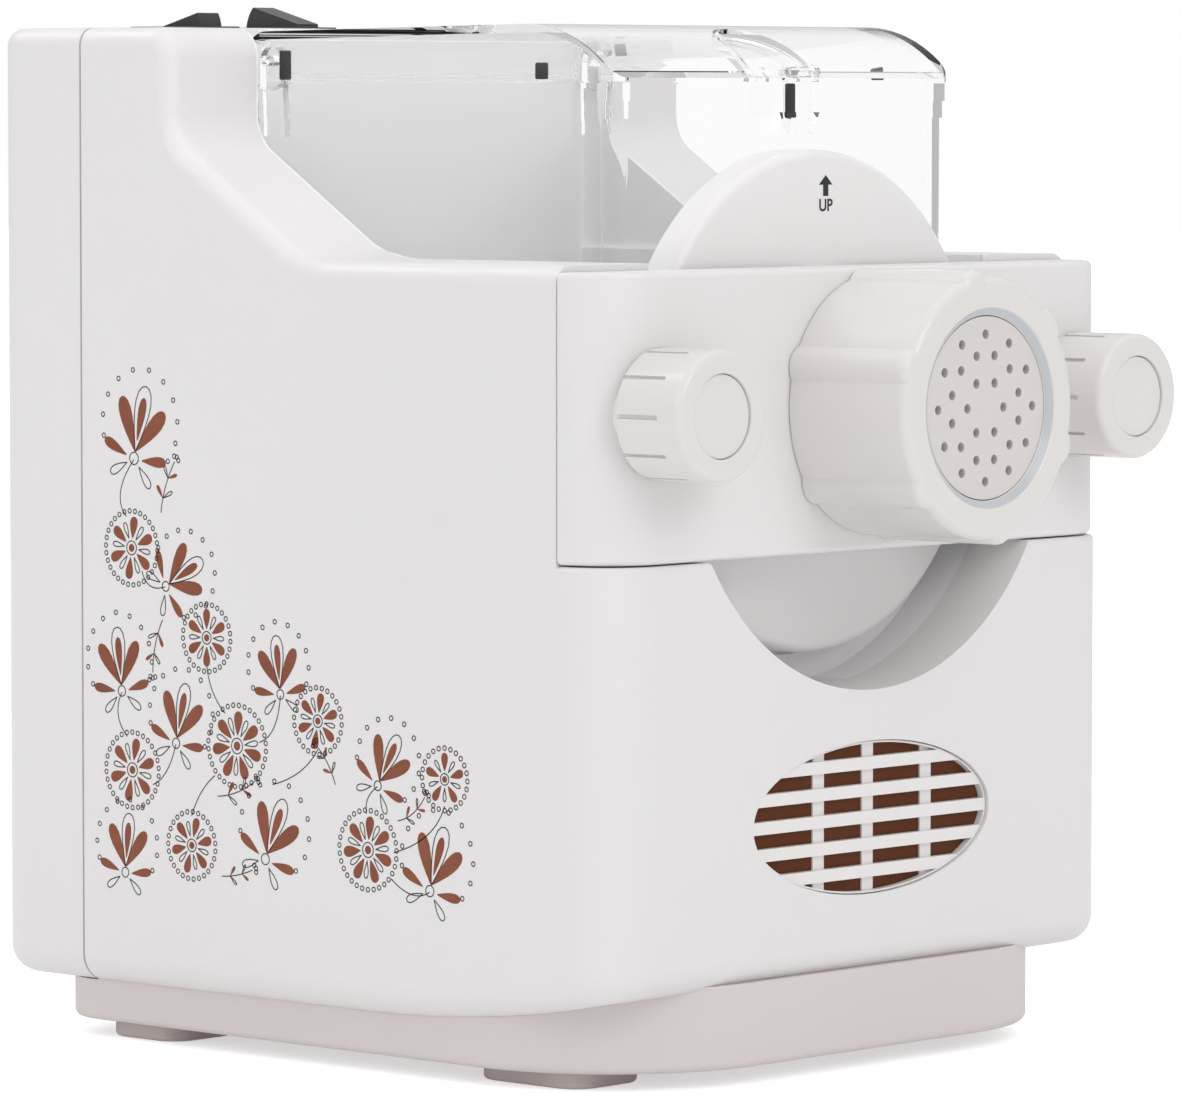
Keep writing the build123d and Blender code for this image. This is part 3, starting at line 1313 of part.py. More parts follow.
write("main_housing", make_main_housing())
write("rear_cover", make_rear_cover())
write("base_plinth", make_base_plinth())
write("front_feet", make_feet(front_foot_size, front_foot_centre))
write("rear_feet", make_feet(rear_foot_size, rear_foot_centre))
write("vent_grille", make_vent_grille())
write("vent_screen", make_vent_screen())
write("clamp_studs", [make_clamp_stud(x) for x in stud_places()])
write("stud_nuts", [make_stud_nut(x) for x in stud_places()])
write("rear_cover_screws", [make_cover_screw(x, height) for x, height in cover_screw_places()])
write("base_screws", [make_base_screw(x, depth) for x, depth in base_screw_places])
write("control_board", make_control_board())
write("interlock_switch", make_interlock())
write("power_inlet", make_power_inlet())
write("switch_bodies", [make_switch_body(x) for x in rocker_centres])
write("mix_rocker", make_rocker(rocker_centres[0], rocker_crown_rises[0], -rocker_tilt))
write("extrude_rocker", make_rocker(rocker_centres[1], rocker_crown_rises[1], rocker_tilt))

write("gearbox_case", make_gearbox_case())
write("gearbox_cover", make_gearbox_cover())
write("gearbox_screws", [make_gearbox_screw(x, rise) for x, rise in gearbox_screw_places()])
write("spindle_bearings", [make_spindle_bearing(gearbox_front_depth, fast_depth - part_clearance),
                           make_spindle_bearing(gearbox_split_depth, gearbox_rear_depth + gearbox_wall)])
write("gear_axle", make_axle())
write("output_gear", make_output_gear())
write("drive_spindle", make_drive_spindle())
write("intermediate_gear", make_intermediate_gear())
write("motor_pinion", make_motor_pinion())
write("motor_can", make_motor_can())
write("motor_magnets", make_magnets())
write("motor_front_bell", make_motor_bell(motor_front_depth, motor_front_depth))
write("motor_rear_bell", make_motor_bell(motor_rear_depth - motor_bell_thickness,
                                         motor_rear_depth - motor_bearing_length))
write("motor_bearings", [make_motor_bearing(motor_front_depth),
                         make_motor_bearing(motor_rear_depth - motor_bearing_length)])
write("motor_rotor", make_motor_rotor())
write("motor_fan", make_motor_fan())
write("motor_cradle", make_motor_cradle())

write("tub", make_tub())
write("tub_bush", make_tub_bush())
write("lid_hinge_pins", [make_hinge_pin(side) for side in (-1, 1)])
write("lid", make_lid())
write("lid_latch", make_latch())
write("latch_pin", make_latch_pin())
write("auger", make_auger())
write("mixing_paddle", make_paddle())

write("extruder_head", make_extruder_head())
write("head_gasket", make_head_gasket())
write("clamp_panel", make_clamp_panel())
write("die_plate", make_die_plate())
write("die_nut", make_die_nut())
for side_name, place in zip(("left", "right"), stud_places()):
    write(f"knob_washer_{side_name}", make_washer(place))
    write(f"clamp_knob_{side_name}", make_knob(place))
    write(f"knob_insert_{side_name}", make_knob_insert(place))
    write(f"knob_cap_{side_name}", make_knob_cap(place))
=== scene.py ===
"""Electric pasta maker: finishes, moulded shells, clear tub and lid, printed flank and studio.

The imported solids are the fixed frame. Each sub-assembly below dresses its solids and adds the finer
pieces that they lack. A piece that stands for a solid says so.
"""

import logging
import math
from dataclasses import dataclass, replace
from enum import Enum
from typing import Iterable, NamedTuple, Optional, Sequence

import bmesh
import bpy
from bmesh.types import BMEdge, BMesh, BMFace, BMVert
from mathutils import Matrix, Vector


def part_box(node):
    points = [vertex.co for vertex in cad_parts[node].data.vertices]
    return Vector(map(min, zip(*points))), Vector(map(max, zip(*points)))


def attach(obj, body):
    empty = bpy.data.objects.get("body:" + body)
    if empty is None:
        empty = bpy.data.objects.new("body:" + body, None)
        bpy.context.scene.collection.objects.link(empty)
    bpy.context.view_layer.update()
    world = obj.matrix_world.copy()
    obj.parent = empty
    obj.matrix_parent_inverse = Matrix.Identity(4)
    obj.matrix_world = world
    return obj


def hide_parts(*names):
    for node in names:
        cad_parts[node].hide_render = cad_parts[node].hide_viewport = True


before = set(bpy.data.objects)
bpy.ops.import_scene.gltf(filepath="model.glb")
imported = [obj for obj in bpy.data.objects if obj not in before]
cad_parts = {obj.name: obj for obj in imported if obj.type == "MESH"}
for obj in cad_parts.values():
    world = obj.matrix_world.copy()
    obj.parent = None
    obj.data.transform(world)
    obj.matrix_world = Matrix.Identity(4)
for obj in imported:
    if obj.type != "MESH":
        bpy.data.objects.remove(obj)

LOG = logging.getLogger("pasta_maker")
MM = 0.001
MERGE_WITHIN = 1e-6
SHARP_ABOVE = 34.0
WHITE = (1.0, 1.0, 1.0, 1.0)
PALE = (0.8, 0.8, 0.8, 1.0)
GREY = (0.7, 0.7, 0.7, 1.0)
UPRIGHT = Matrix.Rotation(math.radians(90.0), 4, "X")
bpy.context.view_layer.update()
BODY_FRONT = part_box("main_housing")[0][1]

Colour = tuple[float, float, float]
Point = tuple[float, float, float]
Spot = Sequence[float]
Row = tuple[float, ...]
Node = bpy.types.Node
Outputs = bpy.types.NodeOutputs
Socket = bpy.types.NodeSocket
Tree = bpy.types.NodeTree


# --- shader plumbing


def spaced(inputs: dict[str, object]) -> dict[str, object]:
    """Returns inputs with a space for each underscore in their names."""
    return {name.replace("_", " "): value for name, value in inputs.items()}


class Graph:
    """Adds and joins the nodes of one shader tree."""

    def __init__(self, tree: Tree) -> None:
        """Wraps a node tree."""
        self.tree = tree

    @classmethod
    def cleared(cls, owner: bpy.types.ID) -> "Graph":
        """Gives the graph of a material or a world, emptied.

        Args:
            owner: the material or the world.

        Returns:
            Its graph.
        """
        owner.use_nodes = True
        owner.node_tree.nodes.clear()
        return cls(owner.node_tree)

    def add(self, kind: str, inputs: Optional[dict] = None, **settings: object) -> Node:
        """Adds a node.

        Args:
            kind: the node's type name.
            inputs: socket name or number to a value, or to the socket that feeds it.
            settings: properties of the node itself.

        Returns:
            The new node.
        """
        node = self.tree.nodes.new(kind)
        for name, value in settings.items():
            setattr(node, name, value)
        for name, value in (inputs or {}).items():
            if isinstance(value, Socket):
                self.tree.links.new(value, node.inputs[name])
            else:
                node.inputs[name].default_value = value
        return node

    def place(self) -> Socket:
        """Returns the place on the piece, in its own coordinates."""
        return self.add("ShaderNodeTexCoord").outputs["Object"]

    def noise(self, vector: Socket, scale: object, detail: float = 2.0, roughness: float = 0.5) -> Socket:
        """Adds a noise texture and returns its value."""
        inputs = {"Vector": vector, "Scale": scale, "Detail": detail, "Roughness": roughness}
        return self.add("ShaderNodeTexNoise", inputs).outputs["Fac"]

    def ramp(
        self, value: Socket, low: float, high: float, to_low: float = 0.0, to_high: float = 1.0
    ) -> Socket:
        """Maps a value from one range to another, clamped, and returns the result."""
        inputs = {"Value": value, "From Min": low, "From Max": high, "To Min": to_low, "To Max": to_high}
        return self.add("ShaderNodeMapRange", inputs).outputs["Result"]

    def math(self, operation: str, *values: object) -> Socket:
        """Adds a calculation of the named kind and returns its result."""
        return self.add("ShaderNodeMath", dict(enumerate(values)), operation=operation).outputs[0]

    def mix(self, factor: object, first: object, second: object) -> Socket:
        """Mixes two colours and returns the result."""
        return self.add("ShaderNodeMix", {0: factor, 6: first, 7: second}, data_type="RGBA").outputs[2]

    def effect(self, effect: "SurfaceEffect", **inputs: object) -> Outputs:
        """Places a shared effect, its inputs named as in `spaced`, and returns its outputs."""
        return self.add("ShaderNodeGroup", spaced(inputs), node_tree=EFFECTS.group(effect)).outputs

    def bump(self, strength: float, distance: float, height: Socket) -> Socket:
        """Adds a bump and returns its normal."""
        inputs = {"Strength": strength, "Distance": distance, "Height": height}
        return self.add("ShaderNodeBump", inputs).outputs["Normal"]

    def principled(self, **inputs: object) -> Socket:
        """Adds a Principled shader, its inputs named as in `spaced`, and returns it."""
        return self.add("ShaderNodeBsdfPrincipled", spaced(inputs)).outputs["BSDF"]

    def surface(self, shader: Socket) -> None:
        """Ends the material with a shader."""
        self.add("ShaderNodeOutputMaterial", {"Surface": shader})


class SurfaceEffect(Enum):
    """The effects that several finishes share."""

    FLOW_MOTTLE = "flow_mottle"
    MOULDED_GRAIN = "moulded_grain"
    HANDLING_HAZE = "handling_haze"
    SETTLED_DUST = "settled_dust"
    DRAWN_STREAKS = "drawn_streaks"


class EffectLibrary:
    """Builds each shared effect once, as a shader node group with named inputs and outputs."""

    BROAD_SHARE = 0.75
    FINE_RATIO = 6.0
    MOTTLE_SPAN = (0.35, 0.68)
    SWING_SPAN = (0.3, 0.7)
    UPWARD_SPAN = (0.2, 1.0)
    SPECK_SCALE = 420.0
    SPECK_SPAN = (0.48, 0.72)
    LINE_SPAN = (0.45, 0.75)
    LINE_SHADE = (0.2, 0.2, 0.2, 1.0)
    LINE_HAZE = 0.3

    def __init__(self) -> None:
        """Starts with no group built."""
        self._groups: dict[SurfaceEffect, Tree] = {}

    def group(self, effect: SurfaceEffect) -> Tree:
        """Gives an effect's group. The method of the same name builds it at its first use.

        Args:
            effect: the effect.

        Returns:
            Its node group.
        """
        if effect not in self._groups:
            getattr(self, f"_{effect.value}")()
        return self._groups[effect]

    def _new(self, effect: SurfaceEffect, takes: dict, gives: Iterable[str]) -> tuple[Graph, Outputs]:
        """Starts the group of an effect.

        Args:
            effect: the effect that it makes.
            takes: input name to its default, a number or a colour.
            gives: the names of its outputs. Colour is a colour, the others are numbers.

        Returns:
            The group's graph, and what it is given.
        """
        tree = self._groups[effect] = bpy.data.node_groups.new(effect.value, "ShaderNodeTree")
        for label, value in takes.items():
            kind = "NodeSocketColor" if isinstance(value, tuple) else "NodeSocketFloat"
            socket = tree.interface.new_socket(label, in_out="INPUT", socket_type=kind)
            socket.default_value = value
        for label in gives:
            kind = "NodeSocketColor" if label == "Colour" else "NodeSocketFloat"
            tree.interface.new_socket(label, in_out="OUTPUT", socket_type=kind)
        graph = Graph(tree)
        return graph, graph.add("NodeGroupInput").outputs

    def _flow_mottle(self) -> None:
        """Makes the slow changes of shade that moulding leaves in a large plastic wall."""
        defaults = {"Colour": PALE, "Second Colour": GREY, "Scale": 9.0, "Amount": 0.2}
        g, given = self._new(SurfaceEffect.FLOW_MOTTLE, defaults, ["Colour"])
        place = g.place()
        broad = g.noise(place, given["Scale"], 1.0, 0.4)
        fine = g.noise(place, g.math("MULTIPLY", given["Scale"], self.FINE_RATIO), 3.0, 0.55)
        broad_part = g.math("MULTIPLY", broad, self.BROAD_SHARE)
        both = g.math("ADD", broad_part, g.math("MULTIPLY", fine, 1.0 - self.BROAD_SHARE))
        share = g.math("MULTIPLY", g.ramp(both, *self.MOTTLE_SPAN), given["Amount"])
        g.add("NodeGroupOutput", {"Colour": g.mix(share, given["Colour"], given["Second Colour"])})

    def _moulded_grain(self) -> None:
        """Makes the fine spark-eroded texture of a mould, with a faint orange peel under it."""
        defaults = {"Grain Scale": 1500.0, "Peel Scale": 130.0, "Peel Share": 0.3}
        g, given = self._new(SurfaceEffect.MOULDED_GRAIN, defaults, ["Height"])
        place = g.place()
        grain = g.noise(place, given["Grain Scale"], 2.0, 0.6)
        peel = g.noise(place, given["Peel Scale"], 1.0, 0.4)
        height = g.math("ADD", grain, g.math("MULTIPLY", peel, given["Peel Share"]))
        g.add("NodeGroupOutput", {"Height": height})

    def _handling_haze(self) -> None:
        """Makes a roughness that changes a little where hands and cloths have been."""
        defaults = {"Roughness": 0.35, "Spread": 0.06, "Scale": 26.0}
        g, given = self._new(SurfaceEffect.HANDLING_HAZE, defaults, ["Roughness"])
        smears = g.noise(g.place(), given["Scale"], 4.0, 0.6)
        change = g.math("MULTIPLY", g.ramp(smears, *self.SWING_SPAN, -1.0, 1.0), given["Spread"])
        g.add("NodeGroupOutput", {"Roughness": g.math("ADD", given["Roughness"], change)})

    def _settled_dust(self) -> None:
        """Makes a trace of flour dust on faces that look upwards."""
        defaults = {"Colour": PALE, "Dust Colour": (0.86, 0.84, 0.8, 1.0), "Amount": 0.1}
        g, given = self._new(SurfaceEffect.SETTLED_DUST, defaults, ["Colour"])
        faces = g.add("ShaderNodeNewGeometry").outputs["Normal"]
        upward = g.add("ShaderNodeSeparateXYZ", {"Vector": faces}).outputs["Z"]
        specks = g.ramp(g.noise(g.place(), self.SPECK_SCALE, 3.0, 0.7), *self.SPECK_SPAN)
        dusted = g.math("MULTIPLY", g.ramp(upward, *self.UPWARD_SPAN), specks)
        mask = g.math("MULTIPLY", dusted, given["Amount"])
        g.add("NodeGroupOutput", {"Colour": g.mix(mask, given["Colour"], given["Dust Colour"])})

    def _drawn_streaks(self) -> None:
        """Makes the fine lines that drawing, turning or brushing leaves in metal."""
        defaults = {"Colour": GREY, "Roughness": 0.3, "Strength": 0.3, "Across": 2600.0, "Along": 40.0}
        g, given = self._new(SurfaceEffect.DRAWN_STREAKS, defaults, ["Colour", "Roughness", "Height"])
        across = given["Across"]
        stretch = g.add("ShaderNodeCombineXYZ", {"X": across, "Y": given["Along"], "Z": across}).outputs[0]
        scaled = g.add("ShaderNodeVectorMath", {0: g.place(), 1: stretch}, operation="MULTIPLY")
        lines = g.noise(scaled.outputs["Vector"], 1.0, 2.0, 0.6)
        swing = g.math("MULTIPLY", g.ramp(lines, *self.SWING_SPAN, -1.0, 1.0), given["Strength"])
        depth = g.math("MULTIPLY", g.ramp(lines, *self.LINE_SPAN), given["Strength"])
        colour = g.mix(depth, given["Colour"], self.LINE_SHADE)
        roughness = g.math("ADD", given["Roughness"], g.math("MULTIPLY", swing, self.LINE_HAZE))
        g.add("NodeGroupOutput", {"Colour": colour, "Roughness": roughness, "Height": lines})


EFFECTS = EffectLibrary()


def opaque(colour: Colour) -> tuple[float, float, float, float]:
    """Returns a colour with full alpha."""
    return (*colour, 1.0)


@dataclass(frozen=True)
class Finish:
    """What every finish has: its name and how it starts a material."""

    name: str

    def material(self) -> bpy.types.Material:
        """Gives this finish's material, and builds it at its first use.

        Returns:
            The material.
        """
        label = f"finish_{self.name}"
        made = bpy.data.materials.get(label)
        if not made:
            made = bpy.data.materials.new(label)
            self.build(Graph.cleared(made))
        return made

    def build(self, graph: Graph) -> None:
        """Adds this finish's nodes to its material's graph."""
        raise NotImplementedError


@dataclass(frozen=True)
class MouldedPlastic(Finish):
    """Opaque injection-moulded plastic, from satin to gloss."""

    colour: Colour
    shade: Colour
    roughness: float = 0.36
    haze: float = 0.05
    grain: float = 0.004
    grain_scale: float = 1500.0
    peel: float = 0.3
    mottle: float = 0.35
    dust: float = 0.06
    depth_glow: float = 0.08
    # Painted light: faces inside this box are made lighter than the rest, against the shade that falls in the
    # pocket.
    pocket: Optional[tuple[Point, Point]] = None
    pocket_painted_light: Colour = (0.92, 0.91, 0.91)

    def _paint_pocket_light(self, graph: Graph, colour: Socket) -> Socket:
        """Paints light into a pocket: the faces inside a box get a lighter colour, in place of the light that
        the pocket's shade takes away.

        Args:
            graph: the material's graph.
            colour: the colour elsewhere.

        Returns:
            The colour with the pocket in it.
        """
        parts = graph.add("ShaderNodeSeparateXYZ", {"Vector": graph.place()}).outputs
        inside: object = 1.0
        for part, middle, half in zip(parts, *self.pocket):
            inside = graph.math("MULTIPLY", inside, graph.math("COMPARE", part, middle, half))
        return graph.mix(inside, colour, opaque(self.pocket_painted_light))

    def build(self, graph: Graph) -> None:
        """Adds mottled colour, hazed roughness and moulded grain to a Principled shader, with painted light
        in the pocket where one is given.

        Args:
            graph: the material's graph.
        """
        mottled = graph.effect(
            SurfaceEffect.FLOW_MOTTLE,
            Colour=opaque(self.colour), Second_Colour=opaque(self.shade), Scale=8.0, Amount=self.mottle,
        )
        dusty = graph.effect(SurfaceEffect.SETTLED_DUST, Colour=mottled["Colour"], Amount=self.dust)
        haze = graph.effect(SurfaceEffect.HANDLING_HAZE, Roughness=self.roughness, Spread=self.haze)
        relief = graph.effect(SurfaceEffect.MOULDED_GRAIN, Grain_Scale=self.grain_scale, Peel_Share=self.peel)
        colour = dusty["Colour"]
        if self.pocket:
            colour = self._paint_pocket_light(graph, colour)
        plastic = graph.principled(
            Base_Color=colour,
            Roughness=haze["Roughness"],
            Normal=graph.bump(0.5, self.grain * MM, relief["Height"]),
            IOR=1.5,
            Subsurface_Weight=self.depth_glow,
            Subsurface_Radius=(1.0, 0.85, 0.7),
            Subsurface_Scale=1.2 * MM,
        )
        graph.surface(plastic)


@dataclass(frozen=True)
class ClearPlastic(Finish):
    """Water-clear moulded plastic that lets lamps through, and all light past a number of bounces."""

    tint: Colour
    second_tint: float = 0.985
    roughness: float = 0.015
    haze: float = 0.01
    ripple: float = 0.003
    bending: float = 1.27
    clear_after: float = 4.5

    def build(self, graph: Graph) -> None:
        """Adds clear glass-like plastic, with a faint ripple and wiping marks.

        Args:
            graph: the material's graph.
        """
        clear = opaque(self.tint)
        second = opaque(tuple(self.second_tint * c for c in self.tint))
        tint = graph.effect(
            SurfaceEffect.FLOW_MOTTLE, Colour=clear, Second_Colour=second, Scale=12.0, Amount=0.5
        )
        haze = graph.effect(
            SurfaceEffect.HANDLING_HAZE, Roughness=self.roughness, Spread=self.haze, Scale=18.0
        )
        relief = graph.effect(
            SurfaceEffect.MOULDED_GRAIN, Grain_Scale=300.0, Peel_Scale=22.0, Peel_Share=6.0
        )
        plastic = graph.principled(
            Base_Color=tint["Colour"],
            Roughness=haze["Roughness"],
            Normal=graph.bump(0.15, self.ripple * MM, relief["Height"]),
            IOR=self.bending,
            Transmission_Weight=1.0,
        )
        through = graph.add("ShaderNodeBsdfTransparent", {"Color": clear})
        path = graph.add("ShaderNodeLightPath").outputs
        passing = graph.math("MAXIMUM", path["Is Shadow Ray"], path["Is Diffuse Ray"])
        trapped = graph.math("GREATER_THAN", path["Ray Depth"], self.clear_after)
        passing = graph.math("MAXIMUM", passing, trapped)
        mixed = graph.add("ShaderNodeMixShader", {0: passing, 1: plastic, 2: through.outputs[0]})
        graph.surface(mixed.outputs["Shader"])


@dataclass(frozen=True)
class Metal(Finish):
    """Plated, turned or drawn metal."""

    colour: Colour
    roughness: float = 0.28
    streaks: float = 0.25
    along: float = 60.0

    def build(self, graph: Graph) -> None:
        """Adds drawn lines to a metallic Principled shader.

        Args:
            graph: the material's graph.
        """
        lines = graph.effect(
            SurfaceEffect.DRAWN_STREAKS,
            Colour=opaque(self.colour), Roughness=self.roughness, Strength=self.streaks, Along=self.along,
        )
        metal = graph.principled(
            Base_Color=lines["Colour"],
            Roughness=lines["Roughness"],
            Normal=graph.bump(0.2, 0.01 * MM, lines["Height"]),
            Metallic=1.0,
        )
        graph.surface(metal)


@dataclass(frozen=True)
class PrintInk(Finish):
    """Pad-printed ink that lies a hair above the plastic."""

    colour: Colour
    roughness: float = 0.45
    thin_gain: float = 1.35
    thin_lift: float = 0.01

    def build(self, graph: Graph) -> None:
        """Adds ink that is a little lighter where it lies thin.

        Args:
            graph: the material's graph.
        """
        thin = opaque(tuple(min(1.0, self.thin_gain * c + self.thin_lift) for c in self.colour))
        cover = graph.effect(
            SurfaceEffect.FLOW_MOTTLE,
            Colour=opaque(self.colour), Second_Colour=thin, Scale=160.0, Amount=0.45,
        )
        haze = graph.effect(SurfaceEffect.HANDLING_HAZE, Roughness=self.roughness, Spread=0.05)
        graph.surface(graph.principled(Base_Color=cover["Colour"], Roughness=haze["Roughness"]))


SLOT_FINISHES: tuple[Finish, ...] = (
    MouldedPlastic("white_body", (0.80, 0.785, 0.785), (0.765, 0.745, 0.745)),
    MouldedPlastic(
        "warm_white", (0.765, 0.735, 0.72), (0.735, 0.70, 0.68), roughness=0.22, haze=0.015, peel=0.1
    ),
    MouldedPlastic("die_plastic", (0.70, 0.665, 0.65), (0.66, 0.62, 0.6), roughness=0.42),
    MouldedPlastic("plinth_plastic", (0.70, 0.65, 0.64), (0.66, 0.6, 0.59), roughness=0.42),
    MouldedPlastic(
        "foot_rubber", (0.58, 0.51, 0.5), (0.52, 0.45, 0.44),
        roughness=0.75, grain=0.02, grain_scale=700.0, depth_glow=0.0,
    ),
    MouldedPlastic("grille_plastic", (0.83, 0.81, 0.8), (0.79, 0.77, 0.76), roughness=0.34),
    MouldedPlastic(
        "screen_brown", (0.115, 0.030, 0.007), (0.095, 0.024, 0.006),
        roughness=0.95, grain=0.05, grain_scale=900.0, dust=0.0, depth_glow=0.0,
    ),
    MouldedPlastic(
        "switch_black", (0.028, 0.03, 0.032), (0.04, 0.042, 0.045),
        roughness=0.38, grain=0.01, grain_scale=1200.0, dust=0.03, depth_glow=0.0,
    ),
    ClearPlastic("clear_plastic", (0.997, 0.999, 0.999)),
    MouldedPlastic("auger_plastic", (0.8, 0.79, 0.77), (0.76, 0.75, 0.72), roughness=0.4),
    MouldedPlastic("gear_plastic", (0.72, 0.69, 0.58), (0.68, 0.64, 0.53), roughness=0.45),
    Metal("steel", (0.62, 0.62, 0.63)),
    Metal("brass", (0.76, 0.56, 0.26), roughness=0.24),
    MouldedPlastic(
        "seal_silicone", (0.72, 0.71, 0.7), (0.68, 0.67, 0.66), roughness=0.55, depth_glow=0.3, grain=0.006
    ),
    MouldedPlastic(
        "case_plastic", (0.03, 0.03, 0.033), (0.045, 0.045, 0.047),
        roughness=0.5, grain=0.02, grain_scale=900.0, depth_glow=0.0,
    ),
    Metal("motor_steel", (0.5, 0.51, 0.54), roughness=0.36, streaks=0.35),
    MouldedPlastic(
        "magnet_dark", (0.06, 0.06, 0.065), (0.09, 0.09, 0.095),
        roughness=0.6, grain=0.03, grain_scale=800.0, depth_glow=0.0,
    ),
    MouldedPlastic(
        "board_green", (0.02, 0.13, 0.05), (0.03, 0.17, 0.07), roughness=0.3, grain=0.006, depth_glow=0.0
    ),
)
FINISHES = {finish.name: finish for finish in SLOT_FINISHES}
BROWN_INK = PrintInk("brown_ink", (0.215, 0.05, 0.017))
DARK_INK = PrintInk("dark_ink", (0.016, 0.01, 0.009))
BLACK_INK = PrintInk("black_ink", (0.006, 0.006, 0.006))
CLEAR_LID = replace(FINISHES["clear_plastic"], name="clear_lid", clear_after=5.5)
# Painted light: the housing is made lighter inside the tub's pocket, where it is seen in shade through the
# clear tub.
TUB_POCKET = ((0.0, 0.0, 190.0 * MM), (70.5 * MM, 76.0 * MM, 88.0 * MM))
HOUSING_WHITE_PAINTED_LIGHT = replace(FINISHES["white_body"], name="housing_white_painted_light", pocket=TUB_POCKET)
# Painted shade and reflection: the blue-grey of the thin ring in the nut's mouth stands in for the tone of
# the shaded cone.
MOUTH_PAINTED_SHADE = MouldedPlastic(
    "mouth_painted_shade", (0.56, 0.585, 0.61), (0.52, 0.545, 0.57), roughness=0.3, grain=0.006, dust=0.02
)
# Painted shadow: the dark colour of the strip along the parting line stands in for the shadow in the gap
# between the shells.
SEAM_SHADE = PrintInk("seam_shade", (0.34, 0.32, 0.32), roughness=0.7)
# Painted reflection: near-black for pads that stand in for the dark lines seen in the clear lid and latch.
PAINTED_REFLECTION_DARK = MouldedPlastic(
    "painted_reflection_dark", (0.012, 0.013, 0.014), (0.02, 0.021, 0.022),
    roughness=0.42, grain=0.01, dust=0.02, depth_glow=0.0,
)


# --- mesh helpers


def new_object(name: str, data: bpy.types.ID) -> bpy.types.Object:
    """Adds an object to the scene.

    Args:
        name: its name.
        data: its mesh, lamp or camera.

    Returns:
        The object.
    """
    made = bpy.data.objects.new(name, data)
    bpy.context.scene.collection.objects.link(made)
    return made


def settle(
    name: str,
    shape: BMesh,
    finish: Finish,
    body: str,
    replaces: Iterable[str] = (),
) -> bpy.types.Object:
    """Turns a finished bmesh into a piece of the machine.

    Args:
        name: the piece's name.
        shape: its mesh, in place and in metres. It is freed.
        finish: the finish it wears.
        body: the moving body that it rides on.
        replaces: the solids that it stands for.

    Returns:
        The new object.
    """
    mesh = bpy.data.meshes.new(name)
    shape.to_mesh(mesh)
    shape.free()
    mesh.shade_smooth()
    mesh.set_sharp_from_angle(angle=math.radians(SHARP_ABOVE))
    piece = new_object(name, mesh)
    mesh.materials.append(finish.material())
    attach(piece, body)
    for node in replaces:
        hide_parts(node)
    LOG.info("%s: %d faces on %s", name, len(mesh.polygons), body)
    return piece


def dress(nodes: Sequence[str], finish: Optional[Finish] = None) -> None:
    """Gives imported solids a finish.

    Args:
        nodes: the names of the solids.
        finish: the finish for all of them. Without it, each takes that of its own material slot.
    """
    for name in nodes:
        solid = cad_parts[name]
        for place in solid.material_slots:
            worn = finish or FINISHES[place.material.name.split(".")[0]]
            place.material = worn.material()
        LOG.info("%s: dressed as %s", name, solid.material_slots[0].material.name)


def outward(shape: BMesh) -> None:
    """Merges doubled points and turns the faces outwards."""
    bmesh.ops.remove_doubles(shape, verts=shape.verts, dist=MERGE_WITHIN)
    bmesh.ops.recalc_face_normals(shape, faces=shape.faces)


def ease(shape: BMesh, edges: Sequence[BMEdge], rounding: float, segments: int) -> None:
    """Rounds edges over."""
    bmesh.ops.bevel(
        shape, geom=edges, offset=rounding, segments=segments, profile=0.5, affect="EDGES", material=-1
    )


# --- sub-assemblies


@dataclass
class SubAssembly:
    """A group of the machine's parts: the solids that it dresses, and what it adds to them."""

    nodes: tuple[str, ...] = ()

    def build(self) -> None:
        """Dresses the solids, then adds the finer pieces."""
        dress(self.nodes)
        self.add_pieces()

    def add_pieces(self) -> None:
        """Adds nothing where the solids are enough."""


@dataclass
class Shell(SubAssembly):
    """The white housing, rear cover and clamp panel, with the shaded parting line between the two shells."""

    nodes: tuple[str, ...] = ("main_housing", "rear_cover", "rear_cover_screws", "clamp_panel", "stud_nuts")
    seam_width: float = 0.5 * MM
    seam_lift: float = 0.03 * MM
    seam_inset: float = 0.05 * MM
    corner_reach: float = 8.0 * MM
    depth_limit: float = 0.7
    outward_limit: float = 0.3

    def __post_init__(self) -> None:
        """Measures the housing."""
        self.low, self.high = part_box("main_housing")
        self.middle = Vector((0.0, 0.0, 0.5 * (self.low[2] + self.high[2])))

    def add_pieces(self) -> None:
        """Shades the parting line with a strip cut from the housing's own skin."""
        dress(("main_housing",), HOUSING_WHITE_PAINTED_LIGHT)
        rear = self.high[1] - self.seam_inset
        shape = bmesh.new()
        shape.from_mesh(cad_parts["main_housing"].data)
        bmesh.ops.remove_doubles(shape, verts=shape.verts, dist=MERGE_WITHIN)
        for place, facing in ((rear, 1.0), (rear - self.seam_width, -1.0)):
            everything = [*shape.verts, *shape.edges, *shape.faces]
            at, facing_way = (0.0, place, 0.0), (0.0, facing, 0.0)
            bmesh.ops.bisect_plane(shape, geom=everything, plane_co=at, plane_no=facing_way, clear_outer=True)
        inner = [face for face in shape.faces if not self._is_skin(face)]
        bmesh.ops.delete(shape, geom=inner, context="FACES")
        for vert in shape.verts:
            aside = vert.co - self.middle
            aside.y = 0.0
            vert.co += aside.normalized() * self.seam_lift
        # The strip's dark colour is painted shadow.
        settle("cover_seam", shape, SEAM_SHADE, "root")

    def _is_skin(self, face: BMFace) -> bool:
        """Tells the housing's outer skin from its inner faces.

        Args:
            face: a face of the housing.

        Returns:
            True near the outline, for a face that looks away from the axis.
        """
        centre = face.calc_center_median()
        near = (
            abs(centre.x) > self.high[0] - self.corner_reach
            or centre.z > self.high[2] - self.corner_reach
            or centre.z < self.low[2] + self.corner_reach
        )
        aside = centre - self.middle
        aside.y = 0.0
        outward_share = face.normal.dot(aside.normalized())
        return near and abs(face.normal.y) < self.depth_limit and outward_share > self.outward_limit


class Petal(NamedTuple):
    """A petal of a tulip: angles in degrees from the flower's heading, lengths as shares of its size."""

    foot_turn: float
    foot_reach: float
    lean: float
    length: float
    width: float
    solid: bool


